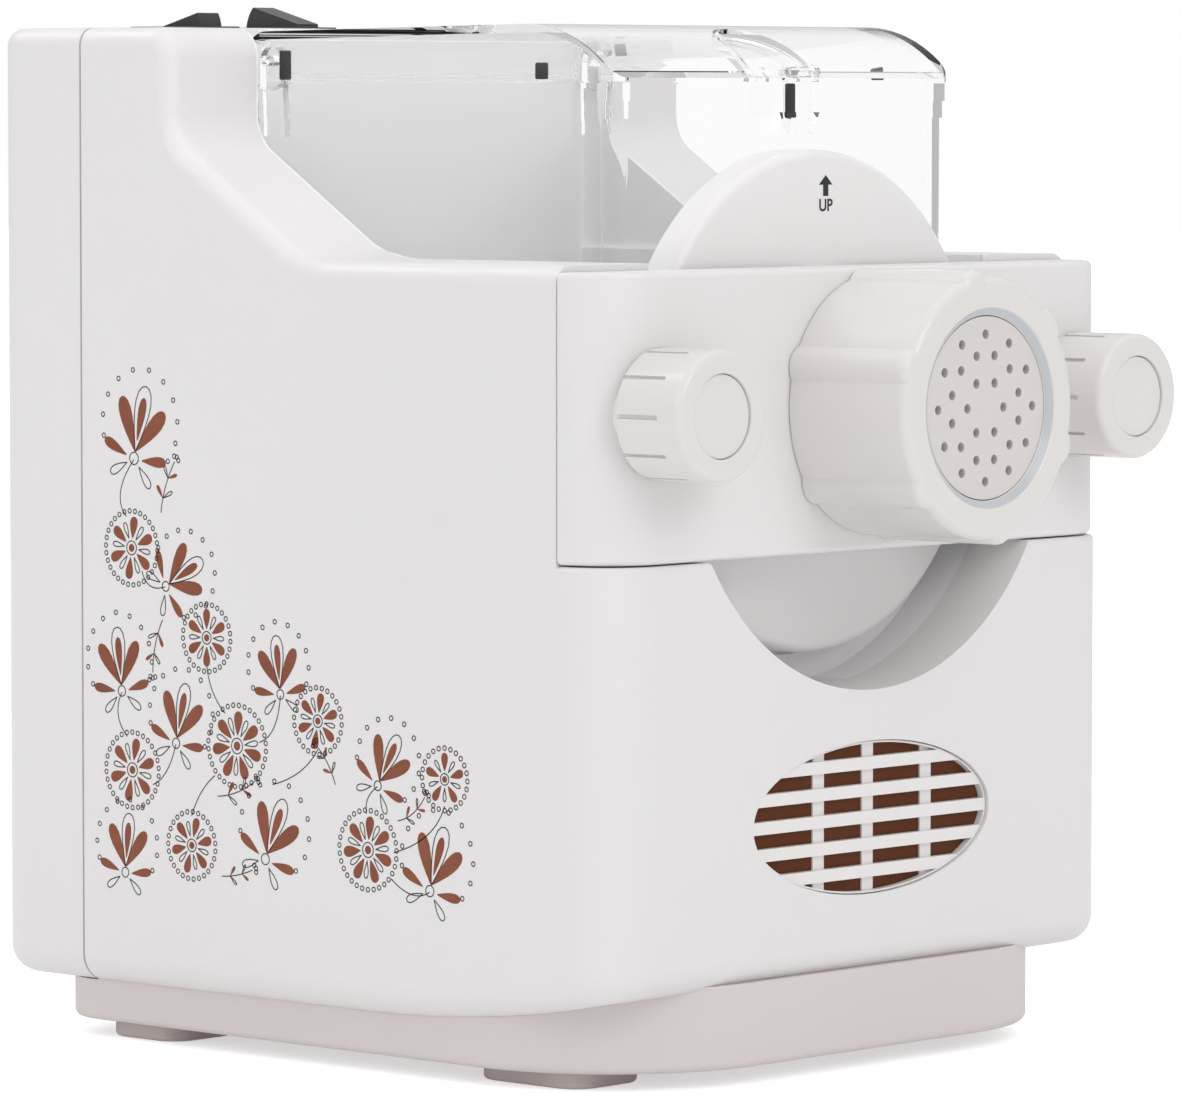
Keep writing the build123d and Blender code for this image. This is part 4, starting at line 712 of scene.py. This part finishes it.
@dataclass
class Garland:
    """A folk garland in two inks, drawn flat: x runs to the right and y upwards, both in metres.

    Headings are in degrees clockwise from up. Sizes without a unit are shares of the flower's own, and
    pairs of petal sizes are for the filled petals and the outlined ones.
    """

    line: float = 0.3 * MM
    dot: float = 0.78 * MM
    segments: int = 18
    stem_segments: int = 14
    dot_segments: int = 10
    small_ring: float = 1.2 * MM
    drop_taper: tuple[float, float] = (0.25, 0.9)
    eye: float = 0.24
    pupil: float = 0.13
    petal_foot: float = 0.3
    petal_tip: tuple[float, float] = (1.0, 0.86)
    petal_width: tuple[float, float] = (0.42, 0.24)
    rim: float = 1.17
    rim_spacing: float = 2.7
    calyx: tuple[float, float] = (0.02, 0.1)
    side_petals: tuple[Petal, ...] = (
        Petal(0.0, 0.12, 33.0, 0.86, 0.32, True),
        Petal(80.0, 0.16, 78.0, 0.52, 0.2, True),
        Petal(120.0, 0.14, 128.0, 0.4, 0.18, False),
    )
    heart_petals: tuple[Petal, ...] = (
        Petal(0.0, 0.12, 0.0, 1.0, 0.42, False),
        Petal(0.0, 0.28, 0.0, 0.66, 0.2, True),
    )
    arc_middle: float = 0.5
    arc_dots: int = 5
    arc_step: float = 23.0
    arc_reach: float = 0.86
    arc_fall: float = 0.0008
    leaf_start: float = 0.7
    leaf_end: float = 0.6
    leaf_length: tuple[float, float] = (0.3, 0.08)
    leaf_lean: float = 48.0
    leaf_width: float = 0.36
    berry_turns: tuple[float, ...] = (-40.0, 0.0, 40.0)
    berry_reach: float = 1.9

    def __post_init__(self) -> None:
        """Starts both sheets of ink."""
        self.fill = bmesh.new()
        self.lines = bmesh.new()

    @staticmethod
    def _place(sheet: BMesh, verts: Sequence[BMVert], at: Spot, heading: float) -> None:
        """Turns a shape from straight up to its heading, and moves it."""
        turn = Matrix.Rotation(math.radians(-heading), 4, "Z")
        bmesh.ops.transform(sheet, matrix=Matrix.Translation((at[0], at[1], 0.0)) @ turn, verts=verts)

    def _hollow(self, face: BMFace) -> None:
        """Leaves only a line around a face."""
        bmesh.ops.inset_individual(self.lines, faces=[face], thickness=self.line, use_even_offset=True)
        bmesh.ops.delete(self.lines, geom=[face], context="FACES_ONLY")

    def drop(self, at: Spot, heading: float, length: float, width: float, solid: bool) -> None:
        """Adds a drop-shaped petal or leaf.

        Args:
            at: its narrow end.
            heading: its direction.
            length: its length.
            width: its greatest width.
            solid: filled with brown, or only outlined.
        """
        sheet = self.fill if solid else self.lines
        made = bmesh.ops.create_circle(sheet, cap_ends=True, segments=self.segments, radius=1.0)["verts"]
        narrow, widening = self.drop_taper
        for vert in made:
            rise = 0.5 * (vert.co.y + 1.0)
            vert.co = Vector((0.5 * width * vert.co.x * (narrow + widening * rise), length * rise, 0.0))
        face = made[0].link_faces[0]
        self._place(sheet, made, at, heading)
        if not solid:
            self._hollow(face)

    def ring(self, at: Spot, radius: float, solid: bool = False) -> None:
        """Adds a circle.

        Args:
            at: its middle.
            radius: its radius.
            solid: filled with brown, or only outlined.
        """
        sheet = self.fill if solid else self.lines
        count = self.segments if radius > self.small_ring else self.dot_segments
        made = bmesh.ops.create_circle(sheet, cap_ends=True, segments=count, radius=radius)["verts"]
        face = made[0].link_faces[0]
        self._place(sheet, made, at, 0.0)
        if not solid:
            self._hollow(face)

    def stem(self, start: Spot, bend: Spot, end: Spot) -> None:
        """Adds a curved stem.

        Args:
            start: its foot.
            bend: the point that it is drawn towards.
            end: its tip.
        """
        count = self.stem_segments
        made = bmesh.ops.create_grid(self.lines, x_segments=1, y_segments=count, size=1.0)["verts"]
        first, pull, last = (Vector((p[0], p[1], 0.0)) for p in (start, bend, end))
        for vert in made:
            t = 0.5 * (vert.co.y + 1.0)
            along = (1 - t) * (pull - first) + t * (last - pull)
            side = Vector((along.y, -along.x, 0.0)).normalized()
            middle = (1 - t) ** 2 * first + 2 * t * (1 - t) * pull + t * t * last
            vert.co = middle + side * 0.5 * self.line * vert.co.x

    @staticmethod
    def away(at: Spot, heading: float, reach: float) -> tuple[float, float]:
        """Returns the point at a distance from another, in a direction."""
        angle = math.radians(heading)
        return at[0] + reach * math.sin(angle), at[1] + reach * math.cos(angle)

    def rosette(self, at: Spot, size: float, petals: int, turn: float) -> None:
        """Adds a round flower with a dotted rim.

        Args:
            at: its middle.
            size: its radius to the petals' tips.
            petals: how many pairs of filled and outlined petals it has.
            turn: its turn in degrees.
        """
        self.ring(at, self.eye * size)
        self.ring(at, self.pupil * size, solid=True)
        for number in range(2 * petals):
            heading = turn + number * 180.0 / petals
            outlined = number % 2
            foot = self.away(at, heading, self.petal_foot * size)
            length = (self.petal_tip[outlined] - self.petal_foot) * size
            self.drop(foot, heading, length, self.petal_width[outlined] * size, not outlined)
        rim = self.rim * size
        count = int(2 * math.pi * rim / (self.rim_spacing * self.dot))
        for number in range(count):
            self.ring(self.away(at, turn + number * 360.0 / count, rim), self.dot)

    def tulip(self, at: Spot, heading: float, size: float) -> None:
        """Adds a cup-shaped flower with leaves at its foot and a dotted arc over it.

        Args:
            at: the foot of its cup.
            heading: its direction.
            size: the height of its cup.
        """
        reach, radius = self.calyx
        self.ring(self.away(at, heading, reach * size), radius * size)
        for side, petals in ((-1.0, self.side_petals), (1.0, self.side_petals), (0.0, self.heart_petals)):
            for petal in petals:
                foot = self.away(at, heading + side * petal.foot_turn, petal.foot_reach * size)
                lean = heading + side * petal.lean
                self.drop(foot, lean, petal.length * size, petal.width * size, petal.solid)
        middle = self.away(at, heading, self.arc_middle * size)
        for number in range(-self.arc_dots, self.arc_dots + 1):
            swing = number * self.arc_step
            reach = size * (self.arc_reach - self.arc_fall * abs(swing))
            self.ring(self.away(middle, heading + swing, reach), self.dot)

    def sprig(self, at: Spot, heading: float, length: float, pairs: int, curl: float) -> None:
        """Adds a leafy twig that ends in berries.

        Args:
            at: its foot.
            heading: its direction.
            length: its length.
            pairs: how many pairs of leaves it has.
            curl: how many degrees it turns along its length.
        """
        tip = self.away(at, heading + 0.5 * curl, length)
        self.stem(at, self.away(at, heading, 0.5 * length), tip)
        longest, loss = self.leaf_length
        for number in range(pairs):
            share = (number + self.leaf_start) / (pairs + self.leaf_end)
            place = self.away(at, heading + 0.5 * curl * share, share * length)
            size = length * (longest - loss * share)
            for side in (-1.0, 1.0):
                lean = heading + curl * share + side * self.leaf_lean
                self.drop(place, lean, size, self.leaf_width * size, (number + (side > 0)) % 2 == 0)
        for turn in self.berry_turns:
            self.ring(self.away(tip, heading + curl + turn, self.berry_reach * self.dot), self.dot)


@dataclass
class FlankPrint(SubAssembly):
    """The brown garland printed on the left flank, stepped down from the rear towards the front.

    Places are y and z in millimetres. Rosettes go on with size, petals and turn, tulips with heading
    and size, sprigs with heading, length, pairs and curl, and vines with their bend and their end.
    """

    skin: float = 0.04 * MM
    depth: float = 0.06 * MM
    rosettes: tuple[Row, ...] = (
        (80, 136, 8.6, 6, 8), (51, 113, 7.8, 6, 0), (80, 75.5, 8.8, 6, 12), (39.5, 84.5, 9.4, 7, 4),
        (57, 56.5, 7.8, 6, 16), (9, 93, 7.6, 6, 10), (-9.5, 60, 9, 7, 6), (-37.5, 80.5, 7, 5, 0),
    )
    tulips: tuple[Row, ...] = (
        (79, 160, 14, 18.5), (67, 126, 62, 15), (84, 96.5, -6, 16), (63, 83.5, 14, 15.5),
        (23, 99, -6, 14.5), (29, 54.5, 24, 16.5), (-13, 77, 30, 14.5), (83, 47, 6, 15),
        (-32, 50.5, 18, 16.5),
    )
    sprigs: tuple[Row, ...] = (
        (68.5, 146, 8, 15, 2, 26), (68, 117, -150, 15, 2, -30), (47, 70.5, 86, 15, 2, -30),
        (45.5, 49, 88, 12, 2, -20), (2.5, 76.5, -20, 12, 2, -30), (-20.5, 68.5, 80, 12, 2, -50),
    )
    vines: tuple[Row, ...] = (
        (79, 160, 88, 150, 82, 144.5), (67, 126, 74, 124, 76, 130), (84, 96.5, 88, 90, 82, 84.5),
        (63, 83.5, 66, 74, 72, 72), (23, 99, 24, 88, 31, 86), (51, 105.5, 50, 98, 44, 93),
        (9, 85.5, 14, 78, 26, 75), (-13, 77, -8, 74, -9, 69.5), (57, 64.5, 54, 72, 48, 76),
        (-32, 50.5, -26, 47, -18, 53), (-37.5, 73.5, -34, 64, -19, 60),
    )

    def add_pieces(self) -> None:
        """Draws the garland and lays it on the flank."""
        ink = Garland()
        for y, z, size, petals, turn in self.rosettes:
            ink.rosette((-y * MM, z * MM), size * MM, petals, turn)
        for y, z, heading, size in self.tulips:
            ink.tulip((-y * MM, z * MM), heading, size * MM)
        for y, z, heading, length, pairs, curl in self.sprigs:
            ink.sprig((-y * MM, z * MM), heading, length * MM, pairs, curl)
        for y0, z0, y1, z1, y2, z2 in self.vines:
            ink.stem((-y0 * MM, z0 * MM), (-y1 * MM, z1 * MM), (-y2 * MM, z2 * MM))
        self._lay(ink.fill, "flank_print_fill", BROWN_INK)
        self._lay(ink.lines, "flank_print_lines", DARK_INK)

    def _lay(self, sheet: BMesh, name: str, finish: Finish) -> None:
        """Gives a flat sheet of ink its thickness and lays it on the left flank.

        Args:
            sheet: the drawing.
            name: the piece's name.
            finish: its ink.
        """
        bmesh.ops.recalc_face_normals(sheet, faces=sheet.faces)
        for face in sheet.faces:
            if face.normal.z < 0.0:
                face.normal_flip()
        bmesh.ops.solidify(sheet, geom=sheet.faces[:], thickness=self.depth)
        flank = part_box("main_housing")[0][0] - self.skin
        onto = Matrix(
            ((0.0, 0.0, -1.0, flank), (-1.0, 0.0, 0.0, 0.0), (0.0, 1.0, 0.0, 0.0), (0.0, 0.0, 0.0, 1.0))
        )
        top = max(vert.co.z for vert in sheet.verts)
        bmesh.ops.transform(sheet, matrix=onto @ Matrix.Translation((0.0, 0.0, -top)), verts=sheet.verts)
        settle(name, sheet, finish, "root")


@dataclass
class PressingHead(SubAssembly):
    """The pressing head with its die, bush, auger and seal, and the mark that shows which way is up."""

    nodes: tuple[str, ...] = ("extruder_head", "head_gasket", "auger", "tub_bush", "die_plate", "die_nut")
    disc_front: float = BODY_FRONT + 20.0 * MM
    three_sided: tuple[float, float] = (math.sqrt(3.0), 1.5)
    mark_x: float = 3.3 * MM
    arrow_rise: float = 234.6 * MM
    arrow_size: tuple[float, float] = (5.6 * MM, 5.6 * MM)
    shaft: tuple[float, float] = (2.1 * MM, 3.0 * MM)
    letters_rise: float = 229.2 * MM
    letters_height: float = 3.3 * MM
    capital_share: float = 0.72
    ink: float = 0.08 * MM
    proud: float = 0.05 * MM
    boldness: float = 0.1 * MM
    mouth_radii: tuple[float, float] = (24.55 * MM, 26.25 * MM)
    mouth_depths: tuple[float, float] = (1.65 * MM, 0.35 * MM)
    mouth_skin: float = 0.12 * MM
    mouth_segments: int = 120

    def add_pieces(self) -> None:
        """Prints the arrow and the word on the disc, and lines the nut's mouth with a ring of painted shade.
        """
        self._arrow()
        self._word()
        self._mouth_ring()

    def _print(self, name: str, shape: BMesh, rise: float) -> None:
        """Stands a flat drawing up, lays it on the disc's face and inks it.

        Args:
            name: the piece's name.
            shape: the drawing.
            rise: the height of its middle.
        """
        stand = Matrix.Translation((self.mark_x, 0.0, rise)) @ UPRIGHT
        bmesh.ops.transform(shape, matrix=stand, verts=shape.verts)
        outward(shape)
        front = min(vert.co.y for vert in shape.verts)
        bmesh.ops.translate(shape, vec=(0.0, self.disc_front - self.proud - front, 0.0), verts=shape.verts)
        settle(name, shape, BLACK_INK, "head")

    def _arrow(self) -> None:
        """Makes the arrow from a three-sided head and a square shaft."""
        width, height = self.arrow_size
        shaft_width, shaft_height = self.shaft
        across, tall = self.three_sided
        scale = (height - shaft_height) / tall
        shape = bmesh.new()
        tip = bmesh.ops.create_circle(shape, cap_ends=True, segments=3, radius=1.0)["verts"]
        bmesh.ops.scale(shape, vec=(width / across, scale, 1.0), verts=tip)
        bmesh.ops.translate(shape, vec=(0.0, 0.5 * height - scale, 0.0), verts=tip)
        shaft = bmesh.ops.create_grid(shape, x_segments=1, y_segments=1, size=0.5)["verts"]
        bmesh.ops.scale(shape, vec=(shaft_width, shaft_height, 1.0), verts=shaft)
        bmesh.ops.translate(shape, vec=(0.0, -0.5 * height + 0.5 * shaft_height, 0.0), verts=shaft)
        bmesh.ops.recalc_face_normals(shape, faces=shape.faces)
        bmesh.ops.solidify(shape, geom=shape.faces[:], thickness=self.ink)
        self._print("up_arrow", shape, self.arrow_rise)

    def _word(self) -> None:
        """Makes the word UP from a text curve."""
        curve = bpy.data.curves.new("up_letters", "FONT")
        curve.body = "UP"
        curve.align_x = "CENTER"
        curve.align_y = "CENTER"
        curve.size = self.letters_height / self.capital_share
        curve.extrude = 0.5 * self.ink
        curve.offset = self.boldness
        curve.resolution_u = 6
        carrier = bpy.data.objects.new("up_letters_curve", curve)
        mesh = bpy.data.meshes.new_from_object(carrier)
        bpy.data.objects.remove(carrier)
        shape = bmesh.new()
        shape.from_mesh(mesh)
        bpy.data.meshes.remove(mesh)
        self._print("up_letters", shape, self.letters_rise)

    def _mouth_ring(self) -> None:
        """Makes the thin grey ring that lines the nut's mouth: painted shade and reflection of the mouth's
        cone.
        """
        low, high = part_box("die_nut")
        middle = Vector((0.0, low[1], 0.5 * (low[2] + high[2])))
        shape = bmesh.new()
        inner, wide = self.mouth_radii
        deep, shallow = self.mouth_depths
        circle = bmesh.ops.create_circle(shape, cap_ends=False, segments=self.mouth_segments, radius=inner)
        bmesh.ops.transform(shape, matrix=UPRIGHT, verts=circle["verts"])
        bmesh.ops.translate(shape, vec=middle + Vector((0.0, deep, 0.0)), verts=circle["verts"])
        grown = bmesh.ops.extrude_edge_only(shape, edges=shape.edges[:])["geom"]
        outer = [item for item in grown if isinstance(item, BMVert)]
        wider = (wide / inner, 1.0, wide / inner)
        bmesh.ops.scale(shape, vec=wider, space=Matrix.Translation(-middle), verts=outer)
        bmesh.ops.translate(shape, vec=(0.0, shallow - deep, 0.0), verts=outer)
        outward(shape)
        bmesh.ops.solidify(shape, geom=shape.faces[:], thickness=self.mouth_skin)
        # The ring's blue-grey is painted shade and reflection.
        settle("mouth_shade_ring", shape, MOUTH_PAINTED_SHADE, "nut")


@dataclass
class AirVent(SubAssembly):
    """The oval grille and the brown screen behind its bars."""

    nodes: tuple[str, ...] = ("vent_grille",)
    bar_cover: float = 2.0 * MM
    edge: float = 0.3 * MM
    rim_turn: float = 1.0
    segments: int = 96

    def add_pieces(self) -> None:
        """Makes the screen that fills the cells of the grille from behind."""
        low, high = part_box("vent_screen")
        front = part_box("vent_grille")[0][1] + self.bar_cover
        shape = bmesh.new()
        made = bmesh.ops.create_circle(shape, cap_ends=True, segments=self.segments, radius=1.0)["verts"]
        size = (0.5 * (high[0] - low[0]), 0.5 * (high[2] - low[2]), 1.0)
        back = (0.5 * (low[0] + high[0]), high[1], 0.5 * (low[2] + high[2]))
        bmesh.ops.scale(shape, vec=size, verts=made)
        bmesh.ops.transform(shape, matrix=UPRIGHT, verts=made)
        bmesh.ops.translate(shape, vec=back, verts=made)
        grown = bmesh.ops.extrude_face_region(shape, geom=shape.faces[:])["geom"]
        moved = [item for item in grown if isinstance(item, BMVert)]
        bmesh.ops.translate(shape, vec=(0.0, front - high[1], 0.0), verts=moved)
        outward(shape)
        joined = [edge for edge in shape.edges if len(edge.link_faces) == 2]
        rims = [edge for edge in joined if edge.calc_face_angle() > self.rim_turn]
        ease(shape, rims, self.edge, segments=2)
        finish = FINISHES["screen_brown"]
        settle("vent_mesh", shape, finish, "root", replaces=("vent_screen",))


@dataclass
class ClearTub(SubAssembly):
    """The clear tub, its lid, latch and pins, the paddle in it, and dark pads that paint the dark reflection
    lines in the lid and latch.
    """

    nodes: tuple[str, ...] = (
        "tub", "lid", "lid_latch", "lid_hinge_pins", "latch_pin", "mixing_paddle", "interlock_switch",
    )
    reflection_pad_sides: tuple[float, ...] = (-1.0, 1.0)
    rear_reflection_pad: tuple[Point, Point] = ((1.2 * MM, 4.2 * MM, 8.0 * MM), (67.6 * MM, 56.0 * MM, 266.8 * MM))
    front_reflection_pad: tuple[Point, Point] = ((1.2 * MM, 4.4 * MM, 4.4 * MM), (67.6 * MM, -39.2 * MM, 265.0 * MM))
    latch_painted_reflection_pad: tuple[Point, Point] = ((3.0 * MM, 1.6 * MM, 9.2 * MM), (-3.9 * MM, -69.9 * MM, 257.2 * MM))
    reflection_pad_rounding: float = 0.5 * MM

    def add_pieces(self) -> None:
        """Gives the lid its own clear finish, and makes the dark pads in the lid and the latch that paint
        their dark reflection lines.
        """
        dress(("lid",), CLEAR_LID)
        # The pads' near-black colour is painted reflection of dark lines in the clear edges.
        shape = bmesh.new()
        for side in self.reflection_pad_sides:
            for size, (x, y, z) in (self.rear_reflection_pad, self.front_reflection_pad):
                self._pad(shape, size, (side * x, y, z))
        settle("lid_painted_reflection_pads", shape, PAINTED_REFLECTION_DARK, "lid")
        shape = bmesh.new()
        self._pad(shape, *self.latch_painted_reflection_pad)
        settle("latch_painted_reflection_pad", shape, PAINTED_REFLECTION_DARK, "latch")

    def _pad(self, shape: BMesh, size: Point, middle: Point) -> None:
        """Adds a rounded block.

        Args:
            shape: the mesh that it joins.
            size: its size.
            middle: its middle.
        """
        made = bmesh.ops.create_cube(shape, size=1.0)["verts"]
        bmesh.ops.scale(shape, vec=size, verts=made)
        bmesh.ops.translate(shape, vec=middle, verts=made)
        edges = {edge for vert in made for edge in vert.link_edges}
        ease(shape, list(edges), self.reflection_pad_rounding, segments=3)


@dataclass
class Controls(SubAssembly):
    """The rockers on the deck, the inlet and the control board."""

    nodes: tuple[str, ...] = ("mix_rocker", "extrude_rocker", "switch_bodies", "power_inlet", "control_board")


@dataclass
class ClampKnobs(SubAssembly):
    """The two clamp knobs with their caps, inserts, washers and studs."""

    nodes: tuple[str, ...] = ("clamp_studs",) + tuple(
        f"{part}_{side}"
        for part in ("clamp_knob", "knob_cap", "knob_insert", "knob_washer")
        for side in ("left", "right")
    )


@dataclass
class Drive(SubAssembly):
    """The motor, its gears and bearings and the spindle that turns the auger."""

    nodes: tuple[str, ...] = (
        "motor_can", "motor_front_bell", "motor_rear_bell", "motor_magnets", "motor_rotor", "motor_fan",
        "motor_bearings", "motor_pinion", "motor_cradle", "intermediate_gear", "output_gear", "gear_axle",
        "gearbox_case", "gearbox_cover", "gearbox_screws", "drive_spindle", "spindle_bearings",
    )


@dataclass
class Base(SubAssembly):
    """The plinth, its feet and screws."""

    nodes: tuple[str, ...] = ("base_plinth", "base_screws", "front_feet", "rear_feet")


# --- studio


@dataclass(frozen=True)
class SoftBox:
    """One square studio light."""

    name: str
    place: Point
    size: float
    watts: float
    target: Point = (0.0, 0.0, 0.13)
    spread_degrees: float = 180.0

    def hang(self) -> None:
        """Adds the light, turned to its target."""
        lamp = bpy.data.lights.new(self.name, "AREA")
        lamp.shape = "SQUARE"
        lamp.size = self.size
        lamp.energy = self.watts
        lamp.spread = math.radians(self.spread_degrees)
        lit = new_object(self.name, lamp)
        lit.location = self.place
        aim = Vector(self.target) - Vector(self.place)
        lit.rotation_euler = aim.to_track_quat("-Z", "Y").to_euler()


@dataclass
class Studio:
    """A pale floor, a white surround, soft boxes and the camera."""

    lens_place: Point = (-1.4404, BODY_FRONT - 1.22115, 0.25779)
    lens_back: Point = (-0.73500, -0.67516, 0.06279)
    focal_mm: float = 216.95
    film_mm: float = 36.0
    clip: tuple[float, float] = (0.05, 60.0)
    floor_half: float = 9.0
    floor_shade: float = 0.84
    floor_roughness: float = 0.9
    horizon: float = 0.5
    zenith: float = 0.92
    floor_glow: float = 0.12
    floor_shown_glow: float = 0.5
    boxes: tuple[SoftBox, ...] = (
        SoftBox("key_box", (-0.4, -1.9, 1.4), 1.2, 10.5),
        SoftBox("left_box", (-1.9, 0.3, 1.1), 1.2, 4.6),
        SoftBox("top_box", (0.2, -0.2, 2.1), 1.4, 2.8),
        SoftBox("rim_box", (-0.4, 1.9, 1.7), 0.9, 7.0),
        SoftBox("tub_box", (-0.25, -0.8, 0.9), 0.16, 0.02, target=(0.0, 0.06, 0.25), spread_degrees=10.0),
    )

    def build(self) -> None:
        """Makes the floor, the lights and the camera."""
        scene = bpy.context.scene
        scene.view_settings.view_transform = "Standard"
        self._floor()
        self._surround()
        for box in self.boxes:
            box.hang()
        eye = bpy.data.cameras.new("camera")
        eye.lens = self.focal_mm
        eye.sensor_width = self.film_mm
        eye.clip_start, eye.clip_end = self.clip
        camera = new_object("camera", eye)
        camera.location = self.lens_place
        camera.rotation_euler = Vector(self.lens_back).to_track_quat("Z", "Y").to_euler()
        scene.camera = camera

    def _floor(self) -> None:
        """Makes the pale floor."""
        shape = bmesh.new()
        bmesh.ops.create_grid(shape, x_segments=1, y_segments=1, size=self.floor_half)
        mesh = bpy.data.meshes.new("studio_floor")
        shape.to_mesh(mesh)
        shape.free()
        paper = bpy.data.materials.new("studio_paper")
        g = Graph.cleared(paper)
        shown = g.add("ShaderNodeLightPath").outputs["Is Camera Ray"]
        glow = g.ramp(shown, 0.0, 1.0, self.floor_glow, self.floor_shown_glow)
        shade, haze = opaque((self.floor_shade,) * 3), self.floor_roughness
        sheet = g.principled(Base_Color=shade, Roughness=haze, Emission_Color=WHITE, Emission_Strength=glow)
        g.surface(sheet)
        mesh.materials.append(paper)
        new_object("studio_floor", mesh)

    def _surround(self) -> None:
        """Makes the surround: greyer at the horizon, and plain white where it shows."""
        world = bpy.data.worlds.new("studio_surround")
        g = Graph.cleared(world)
        place = g.add("ShaderNodeTexCoord").outputs["Generated"]
        height = g.add("ShaderNodeSeparateXYZ", {"Vector": place}).outputs["Z"]
        light = g.ramp(height, 0.0, 1.0, self.horizon, self.zenith)
        lighting = g.add("ShaderNodeBackground", {"Color": WHITE, "Strength": light})
        backdrop = g.add("ShaderNodeBackground", {"Color": WHITE, "Strength": 1.0})
        path = g.add("ShaderNodeLightPath").outputs
        seen = g.math("MAXIMUM", path["Is Camera Ray"], path["Is Transmission Ray"])
        mixed = g.add("ShaderNodeMixShader", {0: seen, 1: lighting.outputs[0], 2: backdrop.outputs[0]})
        g.add("ShaderNodeOutputWorld", {"Surface": mixed.outputs[0]})
        bpy.context.scene.world = world


# --- the run


def main() -> None:
    """Builds the machine's pieces in order, then the studio."""
    logging.basicConfig(level=logging.INFO, format="%(message)s")
    groups = (Shell, FlankPrint, PressingHead, AirVent, ClearTub, Controls, ClampKnobs, Drive, Base)
    for group in groups:
        group().build()
    Studio().build()


if __name__ == "__main__":
    main()
